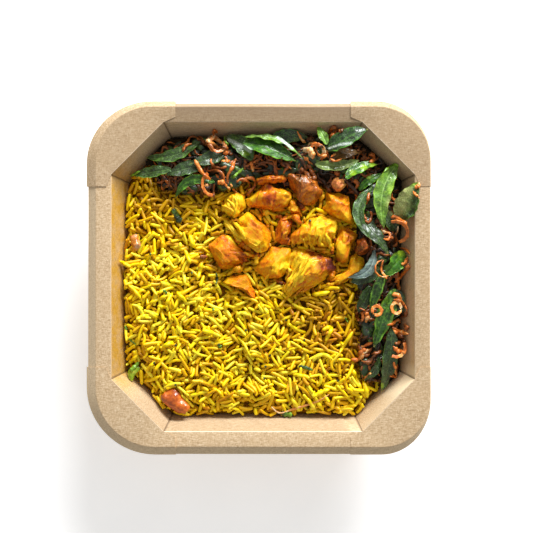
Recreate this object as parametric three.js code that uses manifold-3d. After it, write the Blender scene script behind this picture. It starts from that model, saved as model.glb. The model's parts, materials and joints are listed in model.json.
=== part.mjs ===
// A square paperboard tray of yellow masala rice with chicken pieces, curry leaves and fried shallots.
//
// Millimetres, +Z up. The origin is on the table under the middle of the tray's outline.
// +Y is the far side, where the leaves and shallots lie; they turn the corner and run down the +X side.
// Inside the group, everything is placed from the middle of the tray's opening.

import * as THREE from "three";
import { mergeVertices } from "three/addons/utils/BufferGeometryUtils.js";
import Module from "manifold-3d";

const wasm = await Module();
wasm.setup();

// ---------------------------------------------------------------- driving dimensions

// Tray: eight sloping walls, a flat base, a sealing flange that rises a little outwards, and a lip.
const RIM_HEIGHT = 40; // the crease between flange and lip, above the table
const FLANGE_RISE = 1.2; // how far the flange climbs from the opening to that crease
const OPENING = { x: 159, y: 162 }; // clear size between the flange's inner edges
const CORNER_CUT = 27.4; // length that a slanting corner wall takes off each side
const WALL_SLOPE = 0.29; // how far a wall leans in for each millimetre down
const BOARD = 0.7; // thickness of the board
const FLANGE_WIDTH = 8;
const LIP_DROP = 3;
const LIP_SPREAD = { left: 4.4, right: 0.4, back: 2.1, front: 4.2 }; // the lip springs back unevenly
const FLAP_SPREAD = { left: 5.2, right: 0.8, back: 3.3, front: 4.5 }; // and so does the flaps' lip
const CORNER_STEPS = 6; // straight pieces in a rounded corner
const FLAP_STEP = 0.35; // the corner flaps lie on the side flanges
const FLAP_REACH = 6.3; // how far a flap runs past its corner, along the side
const FLAP_BEND = 0.33; // share of the flange width where the flap's edge turns to the corner

// The four corners, anticlockwise from the far right, with the radius of the flange's crease.
const CORNERS = [
  { x: 1, y: 1, start: 0, radius: 28 },
  { x: -1, y: 1, start: 90, radius: 29.5 },
  { x: -1, y: -1, start: 180, radius: 31 },
  { x: 1, y: -1, start: 270, radius: 25 },
];

// Food.
const GAP = 0.3; // air between pieces that touch
const ROOM = 0.6; // how much fatter a piece of chicken is while it cuts its neighbours
const PILE_HEIGHT = 9.5; // the highest that a piece's middle stands over the rice
const RICE = { level: 26, grid: 9 }; // depth of the rice, and the spacing of its surface points
const GRAIN = { count: 100, length: 9, width: 2.2, rise: 0.6 }; // those that stand out of the rice
const GARNISH = { halfWidth: 17, rise: 5.5 }; // the heap of shallots under the leaves
const SHRED = { count: 20, width: 2.2, thickness: 1 }; // shallots that stand out of that heap
const LEAF_THICKNESS = 0.5;
const LEAF_STEPS = 6; // straight pieces along a leaf
const TILTS = [-0.36, -0.24, -0.12, 0, 0.12, 0.24, 0.36]; // leans that a loose piece tries as it settles

// Chicken from the lowest piece to the highest, placed from the middle of the opening. `turn` is in
// degrees from +X, `sink` is how deep a piece presses down, `torn` the direction of a torn side and
// `shreds` how many strands hang from it.
const CHICKEN = [
  { at: [5, 52.5], size: [17, 9, 9], turn: 6, sink: 1, look: "brown" },
  { at: [53, 17], size: [10, 12, 8], turn: 20, sink: 0, look: "brown" },
  { at: [-16, 39], size: [15, 15, 11], turn: 25, sink: 1, look: "orange" },
  { at: [18, 37.5], size: [12, 13, 10], turn: -40, sink: 1, look: "orange" },
  { at: [43, 17.5], size: [13, 22, 10], turn: 6, sink: 1, look: "orange" },
  { at: [11.5, 24.5], size: [11, 17, 10], turn: -15, sink: 1, torn: 0, shreds: 2, look: "brown" },
  { at: [22.5, 48], size: [20, 21, 13], turn: 60, sink: 1, look: "glazed" },
  { at: [-19.5, 12.5], size: [19, 19, 11], turn: -15, sink: 1, torn: -5, shreds: 1, look: "orange" },
  { at: [4.5, 7.5], size: [20, 18, 11], turn: -10, sink: 1, look: "yellow" },
  { at: [40.5, 36.5], size: [18, 18, 12], turn: -25, sink: 1, look: "orange" },
  { at: [46.5, 1.5], size: [25, 9.5, 9], turn: 48, sink: 1, bend: 4, look: "orange" },
  { at: [26, 3.5], size: [30, 22, 12], turn: 28, sink: 0.5, torn: 185, shreds: 3, look: "charred" },
  { at: [4, 41.5], size: [25, 17, 13], turn: -14, sink: -1, look: "charred" },
  { at: [-5.5, 24.5], size: [22, 21, 13], turn: -35, sink: -1, torn: 172, shreds: 2, look: "orange" },
  { at: [28.5, 24.5], size: [27, 17, 11], turn: 12, sink: -2, torn: 262, shreds: 3, look: "yellow" },
  { at: [-12.5, -6.5], size: [20, 10, 8], turn: -28, sink: 0, bend: -3, look: "orange" },
  { at: [40.5, 50], size: [8, 8, 7], turn: 30, sink: -2, look: "pink" },
];

// Small pieces that lie half sunk in the rice.
const SMALL = [
  { name: "tomato", at: [-47.5, -65.5], size: [15, 9, 5], turn: -38, colour: "tomato" },
  { name: "onion_bit", at: [-67, 17.5], size: [8, 8, 4], turn: -30, colour: "tomato" },
  { name: "green_chilli", at: [-69, -50.5], size: [11.5, 4.5, 4], turn: 52, colour: "chilli", bend: -2 },
];

// Leaves from the lowest to the highest, each from its stalk to its tip. `bow` pushes the midrib to the
// left, `arch` lifts its middle, `fold` lifts both edges, `roll` lifts the left edge, in degrees.
const LEAVES = [
  { from: [-30.5, 59.5], to: [-51.5, 54], width: 8, bow: 0, arch: 1, fold: 0.2, roll: 6, look: "dark" },
  { from: [-19.5, 66], to: [-38.5, 60], width: 7.5, bow: 1, arch: 1, fold: 0.15, roll: -8, look: "dark" },
  { from: [3, 72], to: [24, 74], width: 7.5, bow: 2, arch: 1.5, fold: 0.1, roll: -14, look: "glossy" },
  { from: [71, 24], to: [63, 37], width: 7, bow: 0, arch: 1, fold: 0.1, roll: 10, look: "dark" },
  { from: [62, 5], to: [46, -3], width: 7, bow: 1, arch: 1, fold: 0.1, roll: 0, look: "dark" },
  { from: [73, -7], to: [66, -24], width: 9, bow: 1, arch: 1, fold: 0.1, roll: 12, look: "dark" },
  { from: [57.5, -5], to: [50, -19], width: 7.5, bow: 0, arch: 1, fold: 0.1, roll: -8, look: "dark" },
  { from: [-48, 57], to: [-71, 54.5], width: 6, bow: 0.5, arch: 1, fold: 0.25, roll: 5, look: "frosted" },
  { from: [-34, 72], to: [-63, 64], width: 7.5, bow: 5, arch: 2, fold: 0.25, roll: 12, look: "frosted" },
  { from: [-25.5, 50], to: [-47, 41.5], width: 5.2, bow: -6, arch: 2.5, fold: 0.1, roll: 8, look: "green" },
  { from: [-5, 61.5], to: [-21, 75.5], width: 9, bow: -2, arch: 2, fold: 0.15, roll: -10, look: "frosted" },
  { from: [-10.5, 71], to: [17.5, 61], width: 11, bow: 0, arch: 2.5, fold: 0.15, roll: -14, look: "green" },
  { from: [27, 59], to: [51.5, 62], width: 5.5, bow: -2, arch: 1.5, fold: 0.2, roll: -10, look: "pale" },
  { from: [34, 60.5], to: [52.5, 66], width: 6, bow: 1, arch: 2, fold: 0.1, roll: -12, look: "brown" },
  { from: [33.5, 67.5], to: [55, 77.5], width: 11.5, bow: -1, arch: 2.5, fold: 0.1, roll: -14, look: "glossy" },
  { from: [33.5, 69], to: [28.5, 79.5], width: 5, bow: 0, arch: 1, fold: 0.3, roll: 0, look: "lime" },
  { from: [42.5, 51.5], to: [61.5, 60], width: 7, bow: 1, arch: 2, fold: 0.15, roll: -16, look: "green" },
  { from: [51, 46], to: [64.5, 54.5], width: 4.5, bow: 1, arch: 1.5, fold: 0.1, roll: -10, look: "green" },
  { from: [51, 33], to: [66, 12.5], width: 8, bow: -1, arch: 2, fold: 0.1, roll: -10, look: "dark" },
  { from: [58, 48], to: [56, 19], width: 6.5, bow: -6.5, arch: 2.5, fold: 0.15, roll: 16, look: "frosted" },
  { from: [71, 30], to: [80.5, 50], width: 13.5, bow: -2, arch: 2, fold: 0.2, roll: -12, look: "frosted" },
  { from: [59, 14], to: [44.5, -0.5], width: 6, bow: 4.5, arch: 2, fold: 0.1, roll: -24, look: "silver" },
  { from: [64, 2.5], to: [57, -19], width: 5.5, bow: -0.5, arch: 1.5, fold: 0.2, roll: 12, look: "green" },
  { from: [76, 13.5], to: [63.5, -0.5], width: 9, bow: -1, arch: 2.5, fold: 0.1, roll: 0, look: "green" },
  { from: [70.5, -6.5], to: [59, -37.5], width: 9.5, bow: -1.5, arch: 2.5, fold: 0.25, roll: 6, look: "lime" },
  { from: [62, -43], to: [54, -55.5], width: 4.5, bow: 1.5, arch: 1, fold: 0.1, roll: 0, look: "dark" },
  { from: [68, -27], to: [63.5, -62], width: 8.5, bow: 1, arch: 2, fold: 0.12, roll: 5, look: "dark" },
  { from: [70.5, 59], to: [63.5, 25.5], width: 9.5, bow: -4.5, arch: 3, fold: 0.2, roll: 8, look: "lime" },
  { from: [-9.5, 73.5], to: [20.5, 62.5], width: 4.2, bow: 2.5, arch: 3.5, fold: 0.1, roll: -30, look: "lime" },
];

// Curls of fried shallot that lie on top: arcs of `radius` through `sweep` degrees, turned as above.
const CURLS = [
  { at: [60, -18], radius: 2.8, sweep: 335, turn: 40 },
  { at: [70.5, -16.5], radius: 3.0, sweep: 335, turn: 160 },
  { at: [70, 23.5], radius: 6.3, sweep: 190, turn: 15 },
  { at: [63, 4.5], radius: 4.6, sweep: 210, turn: 200 },
  { at: [-27, 49.5], radius: 6.5, sweep: 150, turn: 200 },
  { at: [70.5, -38], radius: 5.2, sweep: 150, turn: -45 },
  { at: [28.5, 66], radius: 4, sweep: 300, turn: 100 },
  { at: [-24.5, 70], radius: 4.4, sweep: 270, turn: 250 },
];

const COLOURS = {
  board: 0xc9a77c,
  rice: 0xd9a514,
  chicken_orange: 0xdb8a1e,
  chicken_yellow: 0xe2ac20,
  chicken_charred: 0xb96a22,
  chicken_glazed: 0x9c5a1c,
  chicken_brown: 0xb06a24,
  chicken_pink: 0xc58a6a,
  shallot: 0xa85a26,
  tomato: 0xb9591a,
  chilli: 0x8fae3a,
  dark: 0x2f4429,
  glossy: 0x2c4632,
  frosted: 0x5f7f52,
  green: 0x4c7d27,
  pale: 0x9db06a,
  lime: 0x7fb53c,
  silver: 0x9fb0ae,
  brown: 0x7a5a2a,
};

const HALF = { x: OPENING.x / 2, y: OPENING.y / 2 };
const OPENING_HEIGHT = RIM_HEIGHT - FLANGE_RISE;
const degrees = THREE.MathUtils.degToRad;
const { lerp, smoothstep } = THREE.MathUtils;

// ---------------------------------------------------------------- seeded draws and smooth unevenness

// A stream of repeatable numbers from 0 to 1.
function draws(seed) {
  let state = Math.imul(seed + 1, 2654435761) >>> 0;
  return () => {
    state = (Math.imul(state, 1664525) + 1013904223) >>> 0;
    return state / 4294967296;
  };
}

// Smooth uneven bumps from -1 to 1, about `size` millimetres across.
function bumps(x, y, size, seed) {
  const corner = (i, j) => {
    const wave = Math.sin(i * 127.1 + j * 311.7 + seed * 74.7) * 43758.5453;
    return 2 * (wave - Math.floor(wave)) - 1;
  };
  const column = Math.floor(x / size);
  const row = Math.floor(y / size);
  const u = smoothstep(x / size - column, 0, 1);
  const v = smoothstep(y / size - row, 0, 1);
  const near = lerp(corner(column, row), corner(column + 1, row), u);
  const far = lerp(corner(column, row + 1), corner(column + 1, row + 1), u);
  return lerp(near, far, v);
}

// ---------------------------------------------------------------- solids

function solid(geometry) {
  const bare = geometry.clone();
  bare.deleteAttribute("normal");
  bare.deleteAttribute("uv");
  const merged = mergeVertices(bare, 1e-4);
  return new wasm.Manifold(
    new wasm.Mesh({
      numProp: 3,
      vertProperties: merged.attributes.position.array,
      triVerts: new Uint32Array(merged.index.array),
    }),
  );
}

function geometryOf(body) {
  const mesh = body.getMesh();
  const geometry = new THREE.BufferGeometry();
  geometry.setAttribute("position", new THREE.BufferAttribute(mesh.vertProperties, 3));
  geometry.setIndex(new THREE.BufferAttribute(mesh.triVerts, 1));
  geometry.computeVertexNormals();
  return geometry;
}

// The largest body of a solid, without the scraps and sealed hollows that joining leaves.
function largest(body) {
  return body.decompose().sort((a, b) => b.volume() - a.volume())[0];
}

function join(bodies) {
  return bodies.reduce((whole, body) => whole.add(body));
}

// A closed skin over rings of points, from a cap that faces up to one that faces down.
function loft(rings) {
  const count = rings[0].length;
  const index = [];
  for (let ring = 0; ring < rings.length - 1; ring++) {
    for (let i = 0; i < count; i++) {
      const a = ring * count + i;
      const b = ring * count + ((i + 1) % count);
      index.push(a, a + count, b + count, a, b + count, b);
    }
  }
  const last = (rings.length - 1) * count;
  for (const [a, b, c] of THREE.ShapeUtils.triangulateShape(rings[0], [])) index.push(a, b, c);
  for (const [a, b, c] of THREE.ShapeUtils.triangulateShape(rings.at(-1), [])) {
    index.push(last + a, last + c, last + b);
  }
  return skin(rings.flat(), index);
}

// A closed skin of triangles, turned so that they face outwards.
function skin(points, index) {
  let volume = 0;
  for (let t = 0; t < index.length; t += 3) {
    const [a, b, c] = [points[index[t]], points[index[t + 1]], points[index[t + 2]]];
    volume += a.dot(b.clone().cross(c));
  }
  const geometry = new THREE.BufferGeometry().setFromPoints(points);
  geometry.setIndex(volume < 0 ? [...index].reverse() : index);
  return geometry;
}

// A closed skin over rings of four points, with flat ends.
function tube(rings) {
  const index = [];
  for (let r = 0; r < rings.length - 1; r++) {
    for (let i = 0; i < 4; i++) {
      const a = r * 4 + i;
      const b = r * 4 + ((i + 1) % 4);
      index.push(a, b, b + 4, a, b + 4, a + 4);
    }
  }
  const last = (rings.length - 1) * 4;
  index.push(0, 2, 1, 0, 3, 2, last, last + 1, last + 2, last, last + 2, last + 3);
  return skin(rings.flat(), index);
}

// The space below a surface z = height(x, y), over a square that reaches past the walls.
function under(height, step = RICE.grid, floor = 0) {
  const count = 2 * Math.ceil((HALF.y + BOARD) / step);
  const at = (i) => (i - count / 2) * step;
  const points = [];
  for (let j = 0; j <= count; j++) {
    for (let i = 0; i <= count; i++) points.push(new THREE.Vector3(at(i), at(j), height(at(i), at(j))));
  }
  const index = [];
  const row = count + 1;
  for (let j = 0; j < count; j++) {
    for (let i = 0; i < count; i++) {
      const a = j * row + i;
      index.push(a, a + 1, a + row + 1, a, a + row + 1, a + row);
    }
  }
  const edge = [];
  for (let i = 0; i < count; i++) edge.push(i);
  for (let j = 0; j < count; j++) edge.push(j * row + count);
  for (let i = count; i > 0; i--) edge.push(count * row + i);
  for (let j = count; j > 0; j--) edge.push(j * row);
  const first = points.length;
  for (const e of edge) points.push(new THREE.Vector3(points[e].x, points[e].y, floor));
  edge.forEach((e, k) => {
    const next = (k + 1) % edge.length;
    index.push(e, first + k, first + next, e, first + next, edge[next]);
  });
  for (let k = 1; k < edge.length - 1; k++) index.push(first, first + k + 1, first + k);
  return solid(skin(points, index));
}

// ---------------------------------------------------------------- tray

// Points of the eight-sided opening, moved `inset` inwards, with as many on each slanting side as in a
// rounded corner.
function octagon(inset, z) {
  const half = new THREE.Vector2(HALF.x - inset, HALF.y - inset);
  const cut = CORNER_CUT - (2 - Math.SQRT2) * inset;
  return CORNERS.flatMap(({ x, y }) => {
    const onSide = new THREE.Vector2(x * half.x, y * (half.y - cut));
    const onEnd = new THREE.Vector2(x * (half.x - cut), y * half.y);
    const [from, to] = x * y > 0 ? [onSide, onEnd] : [onEnd, onSide];
    return Array.from({ length: CORNER_STEPS + 1 }, (_, i) => {
      const point = from.clone().lerp(to, i / CORNER_STEPS);
      return new THREE.Vector3(point.x, point.y, z);
    });
  });
}

// Points of the flange's rounded crease, moved outwards by a lip's spread and inwards by `inset`.
function roundedSquare(z, spread = null, inset = 0) {
  return CORNERS.flatMap(({ x, y, start, radius }) => {
    const centre = [x * (HALF.x + FLANGE_WIDTH - radius), y * (HALF.y + FLANGE_WIDTH - radius)];
    const radiusX = radius - inset + (spread ? spread[x > 0 ? "right" : "left"] : 0);
    const radiusY = radius - inset + (spread ? spread[y > 0 ? "back" : "front"] : 0);
    return Array.from({ length: CORNER_STEPS + 1 }, (_, i) => {
      const angle = degrees(start + (90 * i) / CORNER_STEPS);
      return new THREE.Vector3(centre[0] + radiusX * Math.cos(angle), centre[1] + radiusY * Math.sin(angle), z);
    });
  });
}

function wallInset(z) {
  return WALL_SLOPE * (OPENING_HEIGHT - z);
}

function trayShell() {
  return loft([
    octagon(wallInset(BOARD), BOARD),
    octagon(0, OPENING_HEIGHT),
    roundedSquare(RIM_HEIGHT),
    roundedSquare(RIM_HEIGHT - LIP_DROP, LIP_SPREAD),
    roundedSquare(RIM_HEIGHT - LIP_DROP, LIP_SPREAD, BOARD),
    roundedSquare(RIM_HEIGHT - BOARD, null, BOARD),
    octagon(-BOARD, OPENING_HEIGHT - BOARD),
    octagon(wallInset(0) - BOARD, 0),
  ]);
}

// One corner's flap: a second layer of board over flange and lip, which runs on along both sides and
// turns in to the opening's corner at each end.
function cornerFlap(corner) {
  const first = CORNERS.indexOf(corner) * (CORNER_STEPS + 1);
  const part = (ring) => ring.slice(first, first + CORNER_STEPS + 1);
  const start = degrees(corner.start);
  const ahead = [
    new THREE.Vector3(Math.sin(start), -Math.cos(start), 0),
    new THREE.Vector3(-Math.cos(start), -Math.sin(start), 0),
  ];
  const opening = part(octagon(0, 0));
  const ends = [opening[0], opening.at(-1)];
  // A row of points at height z, run on at both ends to the same line across the flange.
  const runOn = (ring, z) => {
    const points = ring.map((p) => p.clone().setZ(z));
    const [head, tail] = [points[0], points.at(-1)].map((p, k) => {
      const passed = p.clone().sub(ends[k]).dot(ahead[k]);
      return p.clone().addScaledVector(ahead[k], FLAP_REACH - passed);
    });
    return [head, ...points, tail];
  };
  const innerRow = (z) => [ends[0], ...opening, ends[1]].map((p) => p.clone().setZ(z));
  const crease = part(roundedSquare(0));
  const bend = opening.map((p, i) => p.clone().lerp(crease[i], FLAP_BEND));
  const bendHeight = lerp(OPENING_HEIGHT, RIM_HEIGHT, FLAP_BEND);
  const half = BOARD / 2;
  return sweep([
    innerRow(OPENING_HEIGHT + FLAP_STEP),
    runOn(bend, bendHeight + FLAP_STEP),
    runOn(crease, RIM_HEIGHT + FLAP_STEP),
    runOn(part(roundedSquare(0, FLAP_SPREAD)), RIM_HEIGHT - LIP_DROP),
    runOn(part(roundedSquare(0, LIP_SPREAD, half)), RIM_HEIGHT - LIP_DROP),
    runOn(part(roundedSquare(0, null, half)), RIM_HEIGHT - half),
    runOn(bend, bendHeight - half),
    innerRow(OPENING_HEIGHT - half),
  ]);
}

// A closed skin over rows that run side by side round a section, with its two ends capped.
function sweep(rows) {
  const length = rows[0].length;
  const count = rows.length;
  const index = [];
  for (let r = 0; r < count; r++) {
    const next = (r + 1) % count;
    for (let i = 0; i < length - 1; i++) {
      const a = r * length + i;
      const b = next * length + i;
      index.push(a, b, b + 1, a, b + 1, a + 1);
    }
  }
  const half = count / 2;
  for (let r = 0; r < half - 1; r++) {
    const a = r * length;
    const b = (r + 1) * length;
    const c = (count - 2 - r) * length;
    const d = (count - 1 - r) * length;
    index.push(a, c, b, a, d, c);
    index.push(a + length - 1, b + length - 1, c + length - 1, a + length - 1, c + length - 1, d + length - 1);
  }
  return skin(rows.flat(), index);
}

// ---------------------------------------------------------------- the food's own surfaces

// How far a point is inside the opening.
function insideBy(x, y) {
  const slant = (HALF.x + HALF.y - CORNER_CUT - Math.abs(x) - Math.abs(y)) / Math.SQRT2;
  return Math.min(HALF.x - Math.abs(x), HALF.y - Math.abs(y), slant);
}

function mound(x, y, at, reachX, reachY) {
  return Math.exp(-(((x - at[0]) / reachX) ** 2) - ((y - at[1]) / reachY) ** 2);
}

// The rice: higher under the chicken and against the left wall, lower along the other walls.
function riceHeight(x, y) {
  const fromWall = insideBy(x, y) - wallInset(RICE.level);
  return (
    RICE.level +
    3.5 * mound(x, y, [18, 24], 38, 32) +
    6 * mound(x, y, [-80, -8], 22, 34) +
    2 * mound(x, y, [-25, -35], 40, 30) -
    5 * (1 - smoothstep(fromWall, 0, 16)) +
    1.2 * bumps(x, y, 17, 3)
  );
}

// How far a point is from the line along which the garnish is heaped.
function fromGarnishLine(x, y) {
  const back = new THREE.Line3(new THREE.Vector3(-48, 62, 0), new THREE.Vector3(56, 63, 0));
  const side = new THREE.Line3(new THREE.Vector3(64, 54, 0), new THREE.Vector3(66, -48, 0));
  const point = new THREE.Vector3(x, y, 0);
  const distance = (line) => line.closestPointToPoint(point, true, new THREE.Vector3()).distanceTo(point);
  return Math.min(distance(back), distance(side));
}

function garnishRise(x, y) {
  const halfWidth = GARNISH.halfWidth * (1 + 0.16 * bumps(x, y, 13, 17));
  const share = Math.max(-0.5, 1 - (fromGarnishLine(x, y) / halfWidth) ** 2);
  const end = 0.6 + 0.4 * smoothstep(y - x * 0.2, -60, 10);
  const steep = share > 0 ? Math.sqrt(share) : share;
  return GARNISH.rise * end * steep + 0.8 * bumps(x, y, 9, 11) - 0.6;
}

// Everything that a piece could rest on, read as the highest point at each millimetre.
const ground = {
  reach: 100,
  cells: new Map(),
  key(x, y) {
    return Math.round(x + this.reach) * 1000 + Math.round(y + this.reach);
  },
  raise(body) {
    const mesh = body.getMesh();
    const corner = (i) => new THREE.Vector3().fromArray(mesh.vertProperties, mesh.triVerts[i] * 3);
    for (let t = 0; t < mesh.triVerts.length; t += 3) {
      const [a, b, c] = [corner(t), corner(t + 1), corner(t + 2)];
      const steps = Math.ceil(Math.max(a.distanceTo(b), b.distanceTo(c), c.distanceTo(a)) / 0.6);
      for (let i = 0; i <= steps; i++) {
        for (let j = 0; j <= steps - i; j++) {
          const [u, v] = [i / steps, j / steps];
          const x = a.x + u * (b.x - a.x) + v * (c.x - a.x);
          const y = a.y + u * (b.y - a.y) + v * (c.y - a.y);
          const z = a.z + u * (b.z - a.z) + v * (c.z - a.z);
          const key = this.key(x, y);
          if (z > (this.cells.get(key) ?? -1)) this.cells.set(key, z);
        }
      }
    }
  },
  // The highest point round (x, y): food, wall or flange.
  height(x, y) {
    const inset = insideBy(x, y);
    const wall = inset > 0 ? OPENING_HEIGHT - (inset - GAP) / WALL_SLOPE : RIM_HEIGHT + FLAP_STEP;
    let highest = Math.max(wall, 0);
    for (const dx of [-1, 0, 1]) {
      for (const dy of [-1, 0, 1]) {
        highest = Math.max(highest, this.cells.get(this.key(x + dx, y + dy)) ?? 0);
      }
    }
    return highest;
  },
  // How far a body has to be lifted to clear what is below it.
  liftFor(geometry) {
    const position = geometry.attributes.position;
    const index = geometry.index;
    let lift = -Infinity;
    const test = (x, y, z) => (lift = Math.max(lift, this.height(x, y) - z));
    for (let t = 0; t < index.count; t += 3) {
      const corners = [0, 1, 2].map((k) => new THREE.Vector3().fromBufferAttribute(position, index.getX(t + k)));
      corners.forEach((p, k) => {
        const q = corners[(k + 1) % 3];
        for (const share of [0, 0.25, 0.5, 0.75]) {
          test(lerp(p.x, q.x, share), lerp(p.y, q.y, share), lerp(p.z, q.z, share));
        }
      });
    }
    return lift + GAP;
  },
};

// ---------------------------------------------------------------- chicken

// A cut piece of chicken: a rounded block with flat cuts, a bend and, on its torn side, strands.
// `swell` makes it fatter all round, to cut room for it out of its neighbours.
function chicken({ at, size, turn, bend = 0, torn = 0, shreds = 0 }, z, seed, swell = 0) {
  const random = draws(seed);
  const half = size.map((s) => s / 2 + swell);
  const cuts = Array.from({ length: 6 }, () => {
    const angle = random() * 2 * Math.PI;
    const normal = new THREE.Vector3(Math.cos(angle), Math.sin(angle), 0.2 + 0.6 * random()).normalize();
    return { normal, reach: 0.64 + 0.2 * random() };
  });
  const phase = [random() * 6, random() * 6, random() * 6];
  const shape = (v) => {
    v.divideScalar((v.x ** 4 + v.y ** 4 + v.z ** 4) ** 0.25);
    for (const { normal, reach } of cuts) v.addScaledVector(normal, -Math.max(0, v.dot(normal) - reach));
    const wave = Math.sin(3.1 * v.x + phase[0]) + Math.sin(3.7 * v.y + phase[1]) + Math.sin(2.9 * v.z + phase[2]);
    v.multiplyScalar(1 + 0.05 * wave);
    const along = v.x;
    v.set(v.x * half[0], v.y * half[1] + bend * (along ** 2 - 0.4), v.z * half[2]);
  };
  const detail = size[0] * size[1] < 300 ? 1 : 2;
  const block = new THREE.IcosahedronGeometry(1, detail);
  const position = block.attributes.position;
  const v = new THREE.Vector3();
  for (let i = 0; i < position.count; i++) {
    shape(v.fromBufferAttribute(position, i));
    position.setXYZ(i, v.x, v.y, v.z);
  }
  const place = new THREE.Matrix4().makeRotationZ(degrees(turn)).setPosition(at[0], at[1], z);
  const parts = [solid(block.applyMatrix4(place))];
  for (let k = 0; k < shreds; k++) {
    const share = shreds > 1 ? k / (shreds - 1) - 0.5 : 0;
    parts.push(solid(strand(size, degrees(torn), share, swell, random).applyMatrix4(place)));
  }
  return join(parts);
}

// A torn strand, from inside the piece out past its torn side, where it droops to a blunt end.
function strand(size, torn, share, swell, random) {
  const out = new THREE.Vector3(Math.cos(torn), Math.sin(torn), 0);
  const across = new THREE.Vector3(-out.y, out.x, 0);
  const edge = (Math.abs(out.x) * size[0] + Math.abs(out.y) * size[1]) / 2;
  const breadth = (Math.abs(out.y) * size[0] + Math.abs(out.x) * size[1]) / 2;
  const reach = 2.5 + 2.5 * random();
  const rings = [0.3, 0.75, 1].map((step) => {
    const middle = out
      .clone()
      .multiplyScalar(lerp(edge * 0.4 - swell, edge * 0.9 + reach + swell, step))
      .addScaledVector(across, share * breadth * (1 + 0.35 * step));
    middle.z = 0.5 - 3 * step * step;
    const half = lerp(2.4, 0.7, step) + swell;
    return [45, 135, 225, 315].map((a) =>
      middle
        .clone()
        .addScaledVector(across, Math.cos(degrees(a)) * half)
        .setZ(middle.z + Math.sin(degrees(a)) * half * 0.8),
    );
  });
  return tube(rings);
}

// ---------------------------------------------------------------- leaves

// Half the width of a leaf at a share of its length: broad before the middle, drawn out to a tip.
function leafHalfWidth(share, width) {
  const profile = 2.67 * share ** 0.6 * (1 - share) ** 0.85;
  return Math.max(0.25, (width / 2) * profile);
}

// A leaf along +X about its middle, as two like faces a thickness apart and a rim.
function leafGeometry({ length, width, bow, arch, fold, seed }) {
  const random = draws(seed);
  const phase = random() * 6;
  const across = [-1, 0, 1];
  const points = [];
  for (const z of [0, -LEAF_THICKNESS]) {
    for (let i = 0; i <= LEAF_STEPS; i++) {
      const share = i / LEAF_STEPS;
      const curve = 4 * share * (1 - share);
      for (const side of across) {
        const half = leafHalfWidth(share, width);
        const wave = 0.35 * Math.sin(share * 11 + phase + side) * Math.abs(side);
        points.push(
          new THREE.Vector3(
            (share - 0.5) * length,
            bow * (curve - 0.5) + side * half,
            arch * curve + (fold * half + wave) * Math.abs(side) + z,
          ),
        );
      }
    }
  }
  const index = [];
  const rows = LEAF_STEPS + 1;
  const top = (i, k) => i * 3 + k;
  const low = (i, k) => rows * 3 + i * 3 + k;
  for (let i = 0; i < LEAF_STEPS; i++) {
    for (const k of [0, 1]) {
      index.push(top(i, k), top(i + 1, k), top(i + 1, k + 1), top(i, k), top(i + 1, k + 1), top(i, k + 1));
      index.push(low(i, k), low(i + 1, k + 1), low(i + 1, k), low(i, k), low(i, k + 1), low(i + 1, k + 1));
    }
    index.push(top(i, 0), low(i, 0), low(i + 1, 0), top(i, 0), low(i + 1, 0), top(i + 1, 0));
    index.push(top(i, 2), low(i + 1, 2), low(i, 2), top(i, 2), top(i + 1, 2), low(i + 1, 2));
  }
  const end = LEAF_STEPS;
  for (const k of [0, 1]) {
    index.push(top(0, k), top(0, k + 1), low(0, k + 1), top(0, k), low(0, k + 1), low(0, k));
    index.push(top(end, k), low(end, k + 1), top(end, k + 1), top(end, k), low(end, k), low(end, k + 1));
  }
  return skin(points, index);
}

// Lays a thin piece on whatever is below it, with the tilt round `roll` that lets its middle sink lowest.
function laid(flat, x, y, turn, roll = 0) {
  let lowest = null;
  for (const pitch of TILTS) {
    for (const lean of TILTS) {
      const geometry = flat.clone().rotateX(roll + lean).rotateY(pitch).rotateZ(turn).translate(x, y, 0);
      const lift = ground.liftFor(geometry);
      const height = lift + meanHeight(geometry);
      if (!lowest || height < lowest.height) lowest = { geometry, lift, height };
    }
  }
  return lowest.geometry.translate(0, 0, lowest.lift);
}

function meanHeight(geometry) {
  const position = geometry.attributes.position;
  let sum = 0;
  for (let i = 0; i < position.count; i++) sum += position.getZ(i);
  return sum / position.count;
}

// ---------------------------------------------------------------- shallots

// A ribbon along part of a circle that climbs a little, about its own middle.
function curlGeometry({ radius, sweep, width, thickness, climb = 1 }) {
  const steps = Math.max(3, Math.round((radius * degrees(sweep)) / 3));
  const middle = new THREE.Vector3(radius * 0.4 * Math.max(0, Math.cos(degrees(sweep / 2))), 0, 0);
  const points = Array.from({ length: steps + 1 }, (_, i) => {
    const angle = degrees(sweep * (i / steps - 0.5));
    const spread = radius * (1 + 0.12 * (i / steps - 0.5));
    return new THREE.Vector3(spread * Math.cos(angle), spread * Math.sin(angle), climb * (i / steps)).sub(middle);
  });
  const section = new THREE.Shape();
  section.moveTo(-thickness / 2, -width / 2);
  section.lineTo(thickness / 2, -width / 2);
  section.lineTo(thickness / 2, width / 2);
  section.lineTo(-thickness / 2, width / 2);
  const path = new THREE.CatmullRomCurve3(points);
  const geometry = new THREE.ExtrudeGeometry(section, { steps, extrudePath: path, bevelEnabled: false });
  return geometryOf(solid(geometry));
}

// ---------------------------------------------------------------- grains

// A grain of rice along +X: three sides, one edge up, and pointed ends.
function grainGeometry(length, width) {
  const ring = (x) =>
    [90, 210, 330].map(
      (a) => new THREE.Vector3(x, Math.cos(degrees(a)) * width * 0.58, Math.sin(degrees(a)) * width * 0.58),
    );
  const tip = (x) => new THREE.Vector3(x, 0, 0);
  const points = [tip(-length / 2), ...ring(-length / 3), ...ring(length / 3), tip(length / 2)];
  const index = [];
  for (let i = 0; i < 3; i++) {
    const next = (i + 1) % 3;
    index.push(0, 1 + next, 1 + i, 7, 4 + i, 4 + next);
    index.push(1 + i, 1 + next, 4 + next, 1 + i, 4 + next, 4 + i);
  }
  return skin(points, index);
}

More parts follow.
